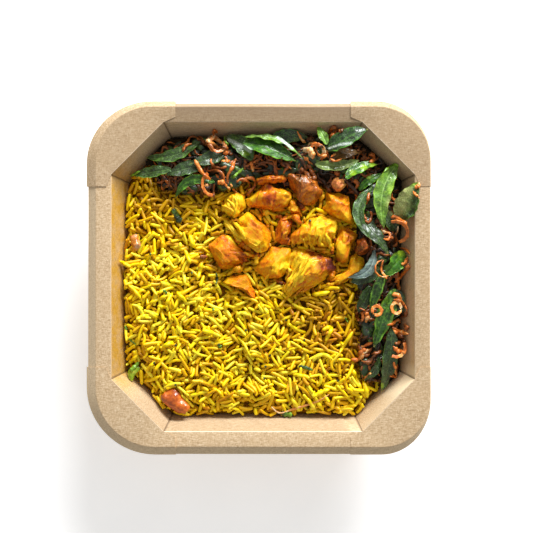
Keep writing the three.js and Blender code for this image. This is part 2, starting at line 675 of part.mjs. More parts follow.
// ---------------------------------------------------------------- the meal

const nodes = [];
function node(name, body, colour, roughness = 0.7) {
  nodes.push({ name, body, colour, roughness });
}

const tray = join([solid(trayShell()), ...CORNERS.map((corner) => solid(cornerFlap(corner)))]);
node("tray", largest(tray), "board", 0.85);

const [CAVITY_TOP, CAVITY_FLOOR] = [2 * RIM_HEIGHT, BOARD + GAP];
const cavity = solid(
  loft([
    octagon(GAP + wallInset(CAVITY_TOP), CAVITY_TOP),
    octagon(GAP + wallInset(CAVITY_FLOOR), CAVITY_FLOOR),
  ]),
);
const riceCore = under(riceHeight).intersect(cavity);
ground.raise(riceCore);

// The garnish's bed of shallots, on the rice along the far and right walls.
const raisedRice = under((x, y) => riceHeight(x, y) + GAP);
const bedTop = under((x, y) => riceHeight(x, y) + GAP + garnishRise(x, y));
const bedCore = largest(bedTop.subtract(raisedRice).intersect(cavity));
const raisedBed = under((x, y) => riceHeight(x, y) + 2 * GAP + garnishRise(x, y));
ground.raise(bedCore);

// Chicken, from the lowest piece to the highest: each is cut to fit the bed and the pieces before it.
let below = raisedRice.add(raisedBed);
CHICKEN.forEach((piece, i) => {
  const [x, y] = piece.at;
  const seed = 40 + i;
  const onGround = ground.height(x, y) + piece.size[2] * 0.3;
  const z = Math.min(onGround, riceHeight(x, y) + PILE_HEIGHT) - piece.sink;
  const body = largest(chicken(piece, z, seed).subtract(below));
  below = below.add(chicken(piece, z, seed, ROOM));
  ground.raise(body);
  node(`chicken_${String(i + 1).padStart(2, "0")}`, body, `chicken_${piece.look}`, 0.45);
});

// Small pieces half sunk in the rice.
SMALL.forEach((piece, i) => {
  const z = riceHeight(...piece.at) + 0.3 * piece.size[2];
  const body = largest(chicken(piece, z, 90 + i).intersect(cavity).subtract(below));
  ground.raise(body);
  node(piece.name, body, piece.colour, 0.4);
});

LEAVES.forEach((leaf, i) => {
  const from = new THREE.Vector2(...leaf.from);
  const to = new THREE.Vector2(...leaf.to);
  const turn = to.clone().sub(from).angle();
  const middle = from.clone().add(to).divideScalar(2);
  const length = from.distanceTo(to);
  const side = new THREE.Vector2(-Math.sin(turn), Math.cos(turn)).multiplyScalar(leaf.bow / 2);
  const flat = leafGeometry({ ...leaf, length, seed: 200 + i });
  const body = solid(laid(flat, middle.x + side.x, middle.y + side.y, turn, degrees(leaf.roll)));
  ground.raise(body);
  node(`leaf_${String(i + 1).padStart(2, "0")}_${leaf.look}`, body, leaf.look, 0.5);
});

CURLS.forEach((curl, i) => {
  const flat = curlGeometry({ ...curl, width: SHRED.width, thickness: SHRED.thickness });
  const body = solid(laid(flat, ...curl.at, degrees(curl.turn)));
  ground.raise(body);
  node(`shallot_curl_${i + 1}`, body, "shallot", 0.5);
});

// Whether a loose grain or shred, given a little fatter than it is, clears everything that lies on top.
const toppings = nodes.slice(1).map(({ body }) => ({ body, box: boxOf(body) }));
function boxOf(body) {
  const { min, max } = body.boundingBox();
  return new THREE.Box3(new THREE.Vector3(...min), new THREE.Vector3(...max));
}
function isFree(fat) {
  const box = boxOf(fat);
  return toppings.every((top) => !top.box.intersectsBox(box) || top.body.intersect(fat).isEmpty());
}

// Shreds of shallot that show in the bed, spread along it.
const shredDraw = draws(7);
let bed = bedCore;
let shreds = 0;
for (let tries = 0; tries < 1200 && shreds < SHRED.count; tries++) {
  const x = lerp(-66, 78, shredDraw());
  const y = lerp(-62, 78, shredDraw());
  const curl = { radius: 3 + 4 * shredDraw(), sweep: 90 + 130 * shredDraw(), climb: 2.5 };
  const [tilt, turn] = [0.9 * (shredDraw() - 0.3), 2 * Math.PI * shredDraw()];
  if (garnishRise(x, y) < 1.5 || insideBy(x, y) < wallInset(riceHeight(x, y)) + 2) continue;
  const z = riceHeight(x, y) + garnishRise(x, y) + 1;
  const shape = (more) => {
    const geometry = curlGeometry({ ...curl, width: SHRED.width + more, thickness: SHRED.thickness + more });
    return solid(geometry.rotateX(tilt).rotateZ(turn).translate(x, y, z));
  };
  if (!isFree(shape(2 * GAP))) continue;
  bed = bed.add(shape(0).intersect(cavity).subtract(raisedRice));
  shreds++;
}
bed = largest(bed);
node("fried_shallots", bed, "shallot", 0.6);
toppings.push({ body: bed, box: boxOf(bed) });

// Grains that show on the rice: each takes the draw that lies farthest from the grains before it.
const grainDraw = draws(5);
const standing = [];
let rice = riceCore;
for (let k = 0; k < GRAIN.count * 2 && standing.length < GRAIN.count; k++) {
  let best = null;
  for (let tries = 0; tries < 14; tries++) {
    const x = lerp(-HALF.x, HALF.x, grainDraw());
    const y = lerp(-HALF.y, HALF.y, grainDraw());
    const surface = riceHeight(x, y);
    if (insideBy(x, y) < wallInset(surface) + 1.5 || garnishRise(x, y) > -0.4) continue;
    if ((ground.cells.get(ground.key(x, y)) ?? 0) > surface + 1) continue;
    const gap = Math.min(...standing.map((p) => Math.hypot(p[0] - x, p[1] - y)), 50);
    if (!best || gap > best.gap) best = { x, y, gap };
  }
  const length = GRAIN.length * (0.8 + 0.5 * grainDraw());
  const [tilt, turn] = [0.5 * (grainDraw() - 0.5), Math.PI * grainDraw()];
  if (!best) continue;
  const shape = (more) =>
    solid(
      grainGeometry(length + more, GRAIN.width + more)
        .rotateY(tilt)
        .rotateZ(turn)
        .translate(best.x, best.y, riceHeight(best.x, best.y) + GRAIN.rise),
    );
  if (!isFree(shape(2 * GAP))) continue;
  standing.push([best.x, best.y]);
  rice = rice.add(shape(0));
}
node("rice", largest(rice.intersect(cavity)), "rice", 0.55);

// ---------------------------------------------------------------- the group

const meal = new THREE.Group();
meal.position.x = (FLAP_SPREAD.left - FLAP_SPREAD.right) / 2;
meal.position.y = (FLAP_SPREAD.front - FLAP_SPREAD.back) / 2;
for (const { name, body, colour, roughness } of nodes) {
  const material = new THREE.MeshStandardMaterial({ color: COLOURS[colour], roughness, metalness: 0 });
  const mesh = new THREE.Mesh(geometryOf(body), material);
  mesh.name = name;
  meal.add(mesh);
}

const model = new THREE.Group();
model.add(meal);
export default model;
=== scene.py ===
# Looks for a tray of yellow masala rice with chicken pieces, curry leaves and fried shallots.
#
# Blender works in metres in the row's frame. The numbers here are millimetres from the middle of the
# tray's opening, with +Y at the far side and +Z up, as in the part's source.

import itertools
import json
import math

import bpy
import numpy as np
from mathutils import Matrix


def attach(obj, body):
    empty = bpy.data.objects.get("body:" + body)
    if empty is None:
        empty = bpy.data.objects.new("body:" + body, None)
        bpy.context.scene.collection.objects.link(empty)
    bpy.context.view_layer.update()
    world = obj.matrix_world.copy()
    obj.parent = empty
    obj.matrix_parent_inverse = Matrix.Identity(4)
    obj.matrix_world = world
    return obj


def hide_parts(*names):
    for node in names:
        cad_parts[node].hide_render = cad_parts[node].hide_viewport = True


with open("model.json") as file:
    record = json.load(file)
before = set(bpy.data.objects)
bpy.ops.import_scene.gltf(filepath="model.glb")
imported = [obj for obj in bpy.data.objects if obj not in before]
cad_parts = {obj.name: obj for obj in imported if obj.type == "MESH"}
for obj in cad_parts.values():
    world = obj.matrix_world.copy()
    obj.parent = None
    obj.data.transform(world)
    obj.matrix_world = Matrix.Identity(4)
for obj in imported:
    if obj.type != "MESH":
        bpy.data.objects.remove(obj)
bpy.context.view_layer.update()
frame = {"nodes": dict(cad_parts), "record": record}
NODES = frame["nodes"]
SLOTS = {part["node"]: part["material_slot"] for part in frame["record"]["subparts"]}

# ---------------------------------------------------------------- driving dimensions

MIDDLE = np.array([2.2, 0.6, 0.0])  # the middle of the opening, from the row's origin
VIEW = {"at": (4.0, 6.0, 590.0), "distance": 550.0, "across": 278.5}

HALF = (79.5, 81.0)  # half the opening between the flange's inner edges
CORNER_CUT = 27.4
SLANT = HALF[0] + HALF[1] - CORNER_CUT  # x + y along the wall across a corner
RIM_HEIGHT = 40.0
OPENING_HEIGHT = 38.8
WALL_SLOPE = 0.29
BOARD = 0.7
FLANGE_WIDTH = 8.0
LIP_DROP = 3.0
LIP_SPREAD = {"left": 4.4, "right": 0.4, "back": 2.1, "front": 4.2}
FLAP_SPREAD = {"left": 5.2, "right": 0.8, "back": 3.3, "front": 4.5}
FLAP_STEP = 0.35
FLAP_REACH = 6.3
FLAP_BEND = 0.33
CORNERS = [(1, 1, 0, 28.0), (-1, 1, 90, 29.5), (-1, -1, 180, 31.0), (1, -1, 270, 25.0)]
# How much painted shade darkens each corner's flap; the far ones are darker.
FLAP_SHADE = (0.45, 0.3, 0.0, 0.0)
CORNER_STEPS = 20
SIDE_STEPS = 24
FOLD_ANGLE = 24  # folds sharper than this many degrees show as edges

HIGHEST = 45.0  # no food stands higher
NOTHING_ABOVE = 99.0  # the height noted where no topping is
BED_FOUND = 20.0  # the bed of shallots is wherever its tops are noted above this
VOXELS = {"chicken": 0.5, "curl": 0.3, "small": 0.4, "bed": 1.1}  # how fine the CAD's shapes are made
SEEDS = {"chicken": 100, "leaf": 400, "curl": 600, "small": 700, "rice": 12, "strands": 31}

RICE_LEVEL = 26.0
RICE_DEPTH = 4.2  # the core lies this far below the grains' tops
GRAINS = 4700
GRAIN_DRAWS = 7
GRAIN_SIDES = 7
GRAIN_LENGTH = (6.5, 11.0)
GRAIN_RADIUS = (0.74, 1.06)
GRAIN_STATIONS = np.array([-1, -0.9, -0.66, -0.24, 0.24, 0.66, 0.9, 1])
GRAIN_PROFILE = np.array([0.5, 0.84, 0.98, 1, 1, 0.97, 0.8, 0.42])
CLUMPS = (7.5, 1.1)  # how wide and how high the rice's small clumps are
# Where grains are stained orange, and where painted shadow darkens the rice, with how far each place reaches.
RICE_STAINS = [
    ((-48, 19), 5), ((-34, -51), 5), ((-10, -64), 5), ((0, -66), 5),
    ((6, -71), 5), ((-52, -2), 4), ((30, -60), 4),
]
RICE_SHADOWS = [((-50, 52), 34), ((-20, 48), 22), ((34, -16), 32), ((52, -40), 18)]

# ---------------------------------------------------------------- uneven surfaces

PRIMES = (374761393, 668265263, 1274126177)
SEED_STEP, SEED_START = 974634777, 1013904223


def smooth(x, low, high):
    t = np.clip((x - low) / (high - low), 0, 1)
    return t * t * (3 - 2 * t)


def noise(points, size, seed=0):
    """Smooth uneven values from -1 to 1, about size millimetres across, at points of 2 or 3 numbers."""
    q = np.asarray(points, float) / size
    cell = np.floor(q).astype(np.int64)
    f = q - cell
    f = f * f * (3 - 2 * f)
    total = np.zeros(len(q))
    for corner in itertools.product((0, 1), repeat=q.shape[1]):
        key = np.full(len(q), seed * SEED_STEP + SEED_START, np.int64)
        weight = np.ones(len(q))
        for axis, step in enumerate(corner):
            key = key + (cell[:, axis] + step) * PRIMES[axis]
            weight = weight * (f[:, axis] if step else 1 - f[:, axis])
        key = (key ^ (key >> 13)) * PRIMES[2]
        key = key ^ (key >> 16)
        total += weight * ((key & 0xFFFF) / 32767.5 - 1)
    return total


def bumps(x, y, size, seed):
    """The same bumps as in the part's source."""

    def corner(i, j):
        wave = np.sin(i * 127.1 + j * 311.7 + seed * 74.7) * 43758.5453
        return 2 * (wave - np.floor(wave)) - 1

    i, j = np.floor(x / size), np.floor(y / size)
    u, v = smooth(x / size - i, 0, 1), smooth(y / size - j, 0, 1)
    near = corner(i, j) * (1 - u) + corner(i + 1, j) * u
    far = corner(i, j + 1) * (1 - u) + corner(i + 1, j + 1) * u
    return near * (1 - v) + far * v


def inside_by(x, y):
    """How far a point is inside the opening."""
    x, y = np.abs(x), np.abs(y)
    slant = (SLANT - x - y) / math.sqrt(2)
    return np.minimum(np.minimum(HALF[0] - x, HALF[1] - y), slant)


def wall_inset(z):
    return WALL_SLOPE * (OPENING_HEIGHT - z)


def tray_height(x, y, gap=0.8):
    """How high the tray's inner side stands below a point that keeps a gap to it."""
    inside = inside_by(x, y) - gap
    wall = np.clip(OPENING_HEIGHT - inside / WALL_SLOPE, BOARD, OPENING_HEIGHT)
    return wall + np.where(inside < 0, np.minimum(0.6 - 0.15 * inside, 1.7), 0)


def mound(x, y, at, reach_x, reach_y):
    return np.exp(-(((x - at[0]) / reach_x) ** 2) - ((y - at[1]) / reach_y) ** 2)


def rice_height(x, y):
    from_wall = inside_by(x, y) - wall_inset(RICE_LEVEL)
    return (
        RICE_LEVEL
        + 3.5 * mound(x, y, (18, 24), 38, 32)
        + 6 * mound(x, y, (-80, -8), 22, 34)
        + 2 * mound(x, y, (-25, -35), 40, 30)
        - 5 * (1 - smooth(from_wall, 0, 16))
        + 1.2 * bumps(x, y, 17, 3)
    )


def clump_height(x, y):
    size, rise = CLUMPS
    return rise * (bumps(x, y, size, 41) + 0.5 * bumps(x, y, size / 2, 43))


def from_line(x, y, a, b):
    ab = np.subtract(b, a)
    t = np.clip(((x - a[0]) * ab[0] + (y - a[1]) * ab[1]) / (ab @ ab), 0, 1)
    return np.hypot(x - a[0] - t * ab[0], y - a[1] - t * ab[1])


def in_place(x, y, at, reach, share=1.0):
    """1 about a place, falling to 0 over the outer share of its reach."""
    return smooth(reach - np.hypot(x - at[0], y - at[1]), 0, reach * share)


# ---------------------------------------------------------------- meshes


def read_points(mesh, key="co"):
    values = np.empty(len(mesh.vertices) * 3, np.float32)
    mesh.vertices.foreach_get(key, values)
    return values.reshape(-1, 3).astype(float)


def read_mesh(mesh):
    """A mesh's points in millimetres and its triangles."""
    mesh.calc_loop_triangles()
    triangles = np.empty(len(mesh.loop_triangles) * 3, np.int32)
    mesh.loop_triangles.foreach_get("vertices", triangles)
    return read_points(mesh) * 1000 - MIDDLE, triangles.reshape(-1, 3)


def cad(node):
    """A CAD node's points, each once, and its triangles."""
    points, triangles = read_mesh(NODES[node].data)
    single, back = np.unique(np.round(points, 3), axis=0, return_inverse=True)
    return single, back.ravel()[triangles]


def set_points(mesh, points):
    mesh.vertices.foreach_set("co", ((points + MIDDLE) / 1000).astype(np.float32).ravel())
    mesh.update()


def set_values(mesh, values_by_name):
    """Gives each point of a mesh values, single or three together, that its material reads."""
    for key, values in values_by_name.items():
        values = np.asarray(values, np.float32)
        kind, field = ("FLOAT", "value") if values.ndim == 1 else ("FLOAT_VECTOR", "vector")
        mesh.attributes.new(key, kind, "POINT").data.foreach_set(field, values.ravel())


def new_mesh(name, points, faces):
    """A mesh from points in millimetres and a list of arrays of faces with 3 or more corners each."""
    mesh = bpy.data.meshes.new(name)
    faces = [np.asarray(f, np.int32) for f in faces]
    mesh.vertices.add(len(points))
    totals = np.concatenate([np.full(len(f), f.shape[1], np.int32) for f in faces])
    corners = np.concatenate([f.ravel() for f in faces])
    mesh.loops.add(len(corners))
    mesh.loops.foreach_set("vertex_index", corners)
    mesh.polygons.add(len(totals))
    mesh.polygons.foreach_set("loop_start", np.concatenate([[0], np.cumsum(totals)[:-1]]).astype(np.int32))
    mesh.polygons.foreach_set("loop_total", totals)
    mesh.vertices.foreach_set("co", ((points + MIDDLE) / 1000).astype(np.float32).ravel())
    mesh.update(calc_edges=True)
    return mesh


def new_object(name, data):
    made = bpy.data.objects.new(name, data)
    bpy.context.scene.collection.objects.link(made)
    return made


def show(name, mesh, values, material, nodes, sharp=None):
    """Puts a mesh in the scene as a piece of the object, smooth except across folds sharper than asked."""
    set_values(mesh, values)
    piece = new_object(name, mesh)
    mesh.materials.clear()
    mesh.materials.append(material)
    mesh.polygons.foreach_set("use_smooth", np.ones(len(mesh.polygons), bool))
    if sharp:
        mesh.set_sharp_from_angle(angle=math.radians(sharp))
    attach(piece, "root")
    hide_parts(*nodes)
    return piece


def grid_quads(rows, columns, rows_close=False, columns_close=False):
    """Faces over a grid of points, row by row. Where rows or columns close, the last joins the first."""
    made_rows, made_columns = rows - (not rows_close), columns - (not columns_close)
    r, c = np.meshgrid(np.arange(made_rows), np.arange(made_columns), indexing="ij")
    here, ahead = r * columns, (r + 1) % rows * columns
    beside = (c + 1) % columns
    return np.stack([here + c, ahead + c, ahead + beside, here + beside], -1).reshape(-1, 4)


def tubes(middle, across, upward, half_width, half_height, sides, blunt=0.45):
    """Closed tubes side by side: arrays of (count, steps, 3) and (count, steps), with domed ends."""
    count, steps = middle.shape[:2]
    turn = 2 * np.pi * np.arange(sides) / sides
    ring = (
        middle[:, :, None]
        + across[:, :, None] * (half_width[:, :, None] * np.cos(turn))[..., None]
        + upward[:, :, None] * (half_height[:, :, None] * np.sin(turn))[..., None]
    )
    along = np.cross(across, upward)
    first = middle[:, :1] - along[:, :1] * (half_height[:, :1] * blunt)[..., None]
    last = middle[:, -1:] + along[:, -1:] * (half_height[:, -1:] * blunt)[..., None]
    points = np.concatenate([ring.reshape(count, steps * sides, 3), first, last], axis=1)
    per = steps * sides + 2
    quads = grid_quads(steps, sides, columns_close=True)[:, [0, 3, 2, 1]]
    s, t = np.arange(sides), (np.arange(sides) + 1) % sides
    end = (steps - 1) * sides
    first_cap = np.stack([np.full(sides, per - 2), t, s], -1)
    last_cap = np.stack([np.full(sides, per - 1), end + s, end + t], -1)
    shift = (np.arange(count) * per)[:, None, None]
    caps = np.concatenate([first_cap, last_cap])
    return points.reshape(-1, 3), [(quads + shift).reshape(-1, 4), (caps + shift).reshape(-1, 3)], per


def unit(v):
    return v / np.maximum(np.linalg.norm(v, axis=-1, keepdims=True), 1e-9)


def lying_frame(middle):
    """The two directions across lines that lie on something: sideways and upward."""
    along = unit(np.gradient(middle, axis=1))
    across = unit(np.cross([0, 0, 1.0], along))
    return across, np.cross(along, across)


def spread(points, triangles, spacing=0.35):
    """Points all over a mesh's triangles, not further apart than spacing."""
    a, b, c = (points[triangles[:, k]] for k in range(3))
    longest = np.max([np.linalg.norm(edge, axis=1) for edge in (a - b, b - c, c - a)], 0)
    steps = np.ceil(longest / spacing).astype(int)
    found = []
    for n in np.unique(steps):
        i, j = np.meshgrid(np.arange(n + 1), np.arange(n + 1), indexing="ij")
        keep = i + j <= n
        u, v = (i[keep] / n)[None, :, None], (j[keep] / n)[None, :, None]
        which = steps == n
        a1, b1, c1 = (p[which][:, None] for p in (a, b, c))
        found.append((a1 + (b1 - a1) * u + (c1 - a1) * v).reshape(-1, 3))
    return np.concatenate(found)


class Heights:
    """Heights over a square grid of cells, such as the highest food so far."""

    CELL = 0.4
    REACH = 90.0

    def __init__(self, start):
        side = int(2 * self.REACH / self.CELL)
        centres = (np.arange(side) + 0.5) * self.CELL - self.REACH
        if callable(start):
            start = start(*np.meshgrid(centres, centres, indexing="ij"))
        self.z = np.broadcast_to(start, (side, side)).astype(float)

    def cell(self, x, y):
        side = len(self.z) - 1
        index = lambda v: np.clip(((np.asarray(v) + self.REACH) / self.CELL).astype(int), 0, side)
        return index(x), index(y)

    def at(self, x, y):
        return self.z[self.cell(x, y)]

    def raise_to(self, points):
        np.maximum.at(self.z, self.cell(points[:, 0], points[:, 1]), points[:, 2])

    def lower_to(self, points):
        np.minimum.at(self.z, self.cell(points[:, 0], points[:, 1]), points[:, 2])


def blurred(grid, reach):
    """The mean over a square of cells."""
    sums = np.pad(grid, ((reach + 1, reach), (reach + 1, reach)), mode="edge").cumsum(0).cumsum(1)
    side = 2 * reach + 1
    return (sums[side:, side:] - sums[:-side, side:] - sums[side:, :-side] + sums[:-side, :-side]) / side**2


# ---------------------------------------------------------------- materials


def linear(r, g, b):
    """A colour as the screen shows it, 0 to 255, for Blender."""
    to = lambda c: c / 12.92 if c <= 0.04045 else ((c + 0.055) / 1.055) ** 2.4
    return (to(r / 255), to(g / 255), to(b / 255), 1.0)


class Material:
    """A node material, built from short calls. Sizes are in millimetres, colours as in `linear`."""

    def __init__(self, name, roughness, specular=0.5, coat=(0, 0.2), subsurface=0, radius=(1, 0.5, 0.2)):
        self.material = bpy.data.materials.new(name)
        self.material.use_nodes = True
        self.tree = self.material.node_tree
        self.shader = self.tree.nodes["Principled BSDF"]
        self.place = self.tree.nodes.new("ShaderNodeTexCoord").outputs["Object"]
        self.put("Roughness", roughness)
        self.put("Specular IOR Level", specular)
        self.put("Coat Weight", coat[0])
        self.put("Coat Roughness", coat[1])
        self.put("Subsurface Weight", subsurface)
        self.put("Subsurface Radius", radius)
        self.put("Subsurface Scale", 0.001)

    def plug(self, socket, value):
        """Links what another node gives, or sets a plain value."""
        if isinstance(value, bpy.types.NodeSocket):
            self.tree.links.new(value, socket)
        else:
            socket.default_value = value

    def put(self, socket, value):
        self.plug(self.shader.inputs[socket], value)

    def add(self, kind, inputs=(), **settings):
        node = self.tree.nodes.new(kind)
        for key, value in settings.items():
            setattr(node, key, value)
        for key, value in dict(inputs).items():
            self.plug(node.inputs[key], value)
        return node

    def noise(self, size, detail=2.0, roughness=0.5, stretch=None, distortion=0.0, place=None):
        place = place or self.place
        if stretch:
            place = self.add("ShaderNodeMapping", {"Vector": place, "Scale": stretch}).outputs[0]
        inputs = {"Vector": place, "Scale": 1000.0 / size, "Detail": detail}
        inputs.update({"Roughness": roughness, "Distortion": distortion})
        return self.add("ShaderNodeTexNoise", inputs).outputs["Fac"]

    def value(self, name, kind="Fac"):
        """A value that the mesh carries at each point."""
        return self.add("ShaderNodeAttribute", attribute_name=name).outputs[kind]

    def ramp(self, value, *stops):
        """Colour by value, from pairs of position and colour."""
        node = self.add("ShaderNodeValToRGB", {"Fac": value})
        elements = node.color_ramp.elements
        while len(elements) < len(stops):
            elements.new(0.5)
        for element, (at, colour) in zip(elements, stops):
            element.position = at
            element.color = linear(*colour)
        return node.outputs["Color"]

    def map(self, value, low, high, to_low=0.0, to_high=1.0):
        inputs = {"Value": value, "From Min": low, "From Max": high, "To Min": to_low, "To Max": to_high}
        return self.add("ShaderNodeMapRange", inputs).outputs[0]

    def math(self, operation, a, b=0.0):
        return self.add("ShaderNodeMath", {0: a, 1: b}, operation=operation).outputs[0]

    def swayed(self, tone, pattern, much):
        """A tone moved up and down by a pattern round 0.5."""
        return self.math("ADD", tone, self.math("MULTIPLY", self.math("SUBTRACT", pattern, 0.5), much))

    def mix(self, factor, a, b, blend="MIX"):
        inputs = {0: factor, 6: a, 7: b}
        return self.add("ShaderNodeMix", inputs, data_type="RGBA", blend_type=blend).outputs[2]

    def toward(self, base, colour, value, low, high, most=1.0, least=0.0):
        """The base, with more of a colour as a value rises from low to high."""
        return self.mix(self.map(value, low, high, least, most), base, linear(*colour))

    def bump(self, height, depth, strength=1.0, after=None):
        inputs = {"Height": height, "Distance": depth / 1000, "Strength": strength}
        if after:
            inputs["Normal"] = after
        normal = self.add("ShaderNodeBump", inputs).outputs[0]
        self.put("Normal", normal)
        return normal


def mottled_material(name, roughness, pattern, stops, relief, **look):
    """Colours by one noise and bumps by another, each given by its size, detail and roughness."""
    m = Material(name, roughness, **look)
    m.put("Base Color", m.ramp(m.noise(*pattern), *stops))
    m.bump(m.noise(*relief[0]), *relief[1:])
    return m.material


def board_material():
    """Kraft board: long pale and dark fibres, and from the mesh's own values: food stains that also carry
    painted yellow bounce light from the rice, painted shade and light, painted highlights on the rounded
    edges and painted shade along the folds.
    """
    m = Material("kraft_board", 0.75, specular=0.25)
    fibre = m.noise(1.0, 5, 0.7, stretch=(0.4, 2.4, 2.4))
    cross = m.noise(1.2, 5, 0.7, stretch=(1.8, 0.7, 1.8))
    grain = m.math("ADD", m.math("MULTIPLY", fibre, 0.6), m.math("MULTIPLY", cross, 0.4))
    base = m.ramp(grain, (0.37, (156, 126, 90)), (0.5, (199, 171, 134)), (0.63, (228, 206, 173)))
    base = m.toward(base, (204, 174, 134), m.noise(11.0, 4, 0.6), 0.35, 0.7, 0.35)
    base = m.toward(base, (146, 112, 76), m.noise(0.6, 2, 0.5), 0.66, 0.8, 0.45)
    # Food stains on the walls beside the rice, which also carry painted yellow bounce light from the rice.
    stain_and_bounce = m.math("MULTIPLY", m.value("stain"), m.map(m.noise(6.0, 4, 0.65), 0.3, 0.62, 0.35, 1.0))
    base = m.mix(stain_and_bounce, base, linear(252, 222, 98), "MULTIPLY")
    # Painted shade where the value shade is above 0, painted light where it is below 0.
    shade = m.value("shade")
    base = m.toward(base, (140, 118, 94), shade, 0.0, 1.0, 0.85)
    base = m.toward(base, (255, 236, 200), shade, -1.0, 0.0, 0.0, least=0.85)
    # Painted highlight along the rounded edges of the opening.
    base = m.toward(base, (255, 244, 224), m.value("edge_highlight"), 0.8, 1.0, 0.8)
    # Painted shade: a dark line along the folds between the walls.
    base = m.toward(base, (84, 62, 42), m.value("crease"), 0.72, 1.0, 0.75)
    m.put("Base Color", base)
    m.put("Roughness", m.map(grain, 0.3, 0.7, 0.66, 0.84))
    m.bump(grain, 0.22, 0.7)
    return m.material


def rice_material():
    m = Material("masala_rice", 0.4, 0.3, coat=(0.08, 0.22), subsurface=0.12, radius=(1.0, 0.7, 0.05))
    streak = m.noise(1.6, 3, 0.6)
    base = m.ramp(
        m.value("tint"),
        (0.0, (184, 134, 0)),
        (0.26, (235, 183, 0)),
        (0.56, (254, 213, 0)),
        (0.85, (255, 231, 10)),
        (1.0, (255, 238, 58)),
    )
    base = m.toward(base, (214, 166, 0), streak, 0.42, 0.72, 0.4)
    base = m.toward(base, (206, 128, 0), m.value("stain"), 0.0, 1.0, 0.7)
    m.put("Base Color", base)
    m.put("Roughness", m.map(streak, 0.3, 0.7, 0.32, 0.5))
    m.bump(m.noise(0.5, 2, 0.6), 0.08, 0.4)
    return m.material


# Each look of the chicken: how wet it is, how much of a cast it has, and the cast's colour.
CHICKEN_LOOKS = {
    "orange": (0.12, 0.0, (230, 146, 2)),
    "yellow": (0.04, 0.0, (238, 178, 4)),
    "charred": (0.3, 0.0, (146, 34, 12)),
    "glazed": (0.4, 0.45, (150, 92, 30)),
    "brown": (0.25, 0.2, (120, 62, 24)),
    "pink": (0.15, 0.6, (206, 132, 92)),
}


def chicken_material(look):
    """From yellow to deep brown by the mesh's own value `warm`, with fibres, hollows and seared spots."""
    wet, cast, cast_colour = CHICKEN_LOOKS[look]
    m = Material(f"chicken_{look}", 0.46, 0.25, coat=(wet, 0.16), subsurface=0.1, radius=(1.4, 0.7, 0.1))
    grain = m.noise(0.9, 4, 0.7, distortion=0.8)
    run = m.value("fibre", "Vector")
    thread = m.noise(0.75, 4, 0.68, stretch=(0.13, 1.0, 0.8), distortion=0.35, place=run)
    tone = m.swayed(m.value("warm"), m.noise(3.8, 4, 0.62), 0.7)
    tone = m.swayed(tone, grain, 0.35)
    tone = m.swayed(tone, thread, m.map(m.value("torn"), 0.0, 1.0, 0.6, 1.5))
    tone = m.math("SUBTRACT", tone, m.math("MULTIPLY", m.value("relief"), 0.34))
    base = m.ramp(
        tone,
        (0.02, (252, 214, 36)),
        (0.25, (240, 182, 4)),
        (0.46, (234, 150, 2)),
        (0.64, (224, 112, 2)),
        (0.82, (158, 60, 4)),
        (1.0, (86, 32, 10)),
    )
    base = m.mix(cast, base, linear(*cast_colour))
    crumb = m.noise(0.5, 3, 0.72)
    base = m.toward(base, (255, 212, 74), crumb, 0.54, 0.72, 0.45)
    scorch = m.math("MULTIPLY", m.value("sear"), m.map(m.noise(2.0, 4, 0.7), 0.3, 0.6, 0.5, 1.0))
    base = m.toward(base, (146, 34, 12), scorch, 0.1, 0.6, 0.85)
    base = m.toward(base, (72, 30, 36), scorch, 0.6, 1.0, 0.85)
    m.put("Base Color", base)
    m.put("Roughness", m.map(grain, 0.3, 0.7, 0.32, 0.56))
    m.bump(crumb, 0.2, 0.6, after=m.bump(grain, 0.3, 0.5, after=m.bump(thread, 0.4, 0.8)))
    return m.material


# Leaves: face, vein and edge colours, roughness, coat, and how much pale speckle, partly bloom and partly
# painted sheen.
LEAF_LOOKS = {
    "dark": ((44, 66, 30), (76, 100, 46), (84, 124, 40), 0.38, 0.25, 0.55),
    "glossy": ((32, 60, 28), (62, 94, 42), (96, 164, 46), 0.3, 0.5, 0.45),
    "frosted": ((50, 80, 26), (92, 126, 56), (116, 170, 56), 0.4, 0.25, 0.8),
    "green": ((50, 104, 16), (92, 146, 36), (130, 196, 48), 0.34, 0.3, 0.2),
    "pale": ((128, 158, 76), (170, 190, 104), (190, 206, 110), 0.42, 0.25, 0.35),
    "lime": ((104, 152, 40), (160, 200, 96), (168, 212, 66), 0.42, 0.25, 0.35),
    "silver": ((112, 134, 132), (160, 180, 168), (130, 160, 130), 0.38, 0.3, 0.7),
    "brown": ((120, 84, 34), (160, 116, 52), (150, 100, 40), 0.38, 0.4, 0.2),
    "rimmed": ((44, 88, 22), (84, 130, 44), (142, 202, 56), 0.32, 0.4, 0.25),
}
RIMMED = ("leaf_23_green", "leaf_25_lime")  # darker leaves with a wide bright rim
# Places where leaves are lime green, and how far each reaches.
FRESH = [
    ((47, 54.6), 2.4), ((53, 57.6), 2.6), ((58, 59), 2.6), ((69, 13.4), 2.8), ((73, 12.6), 2.8),
    ((69, 45), 4.5), ((71.5, 48), 4.5), ((75.5, 50.5), 5), ((79, 51), 5), ((-31, 68), 3),
    ((-28, 71), 3), ((-9, 66), 3), ((63, -58.5), 2.4), ((56, 53), 1.8),
]
# Where a leaf is fried to an olive brown.
OLIVE = [((70.5, 38), 8), ((74, 44), 6)]
# Painted white highlights on leaves: from, to, and half the width.
PAINTED_HIGHLIGHTS = [
    ((34.3, 67.5), (40, 69.1), 0.4), ((40, 69.1), (45.7, 69.4), 0.6), ((45.7, 69.4), (49, 68), 0.3),
    ((53, 26.2), (54.6, 24.8), 1.0), ((7.8, 73.6), (15.2, 68), 0.9), ((-18.3, 73), (-6.8, 66.5), 1.0),
]


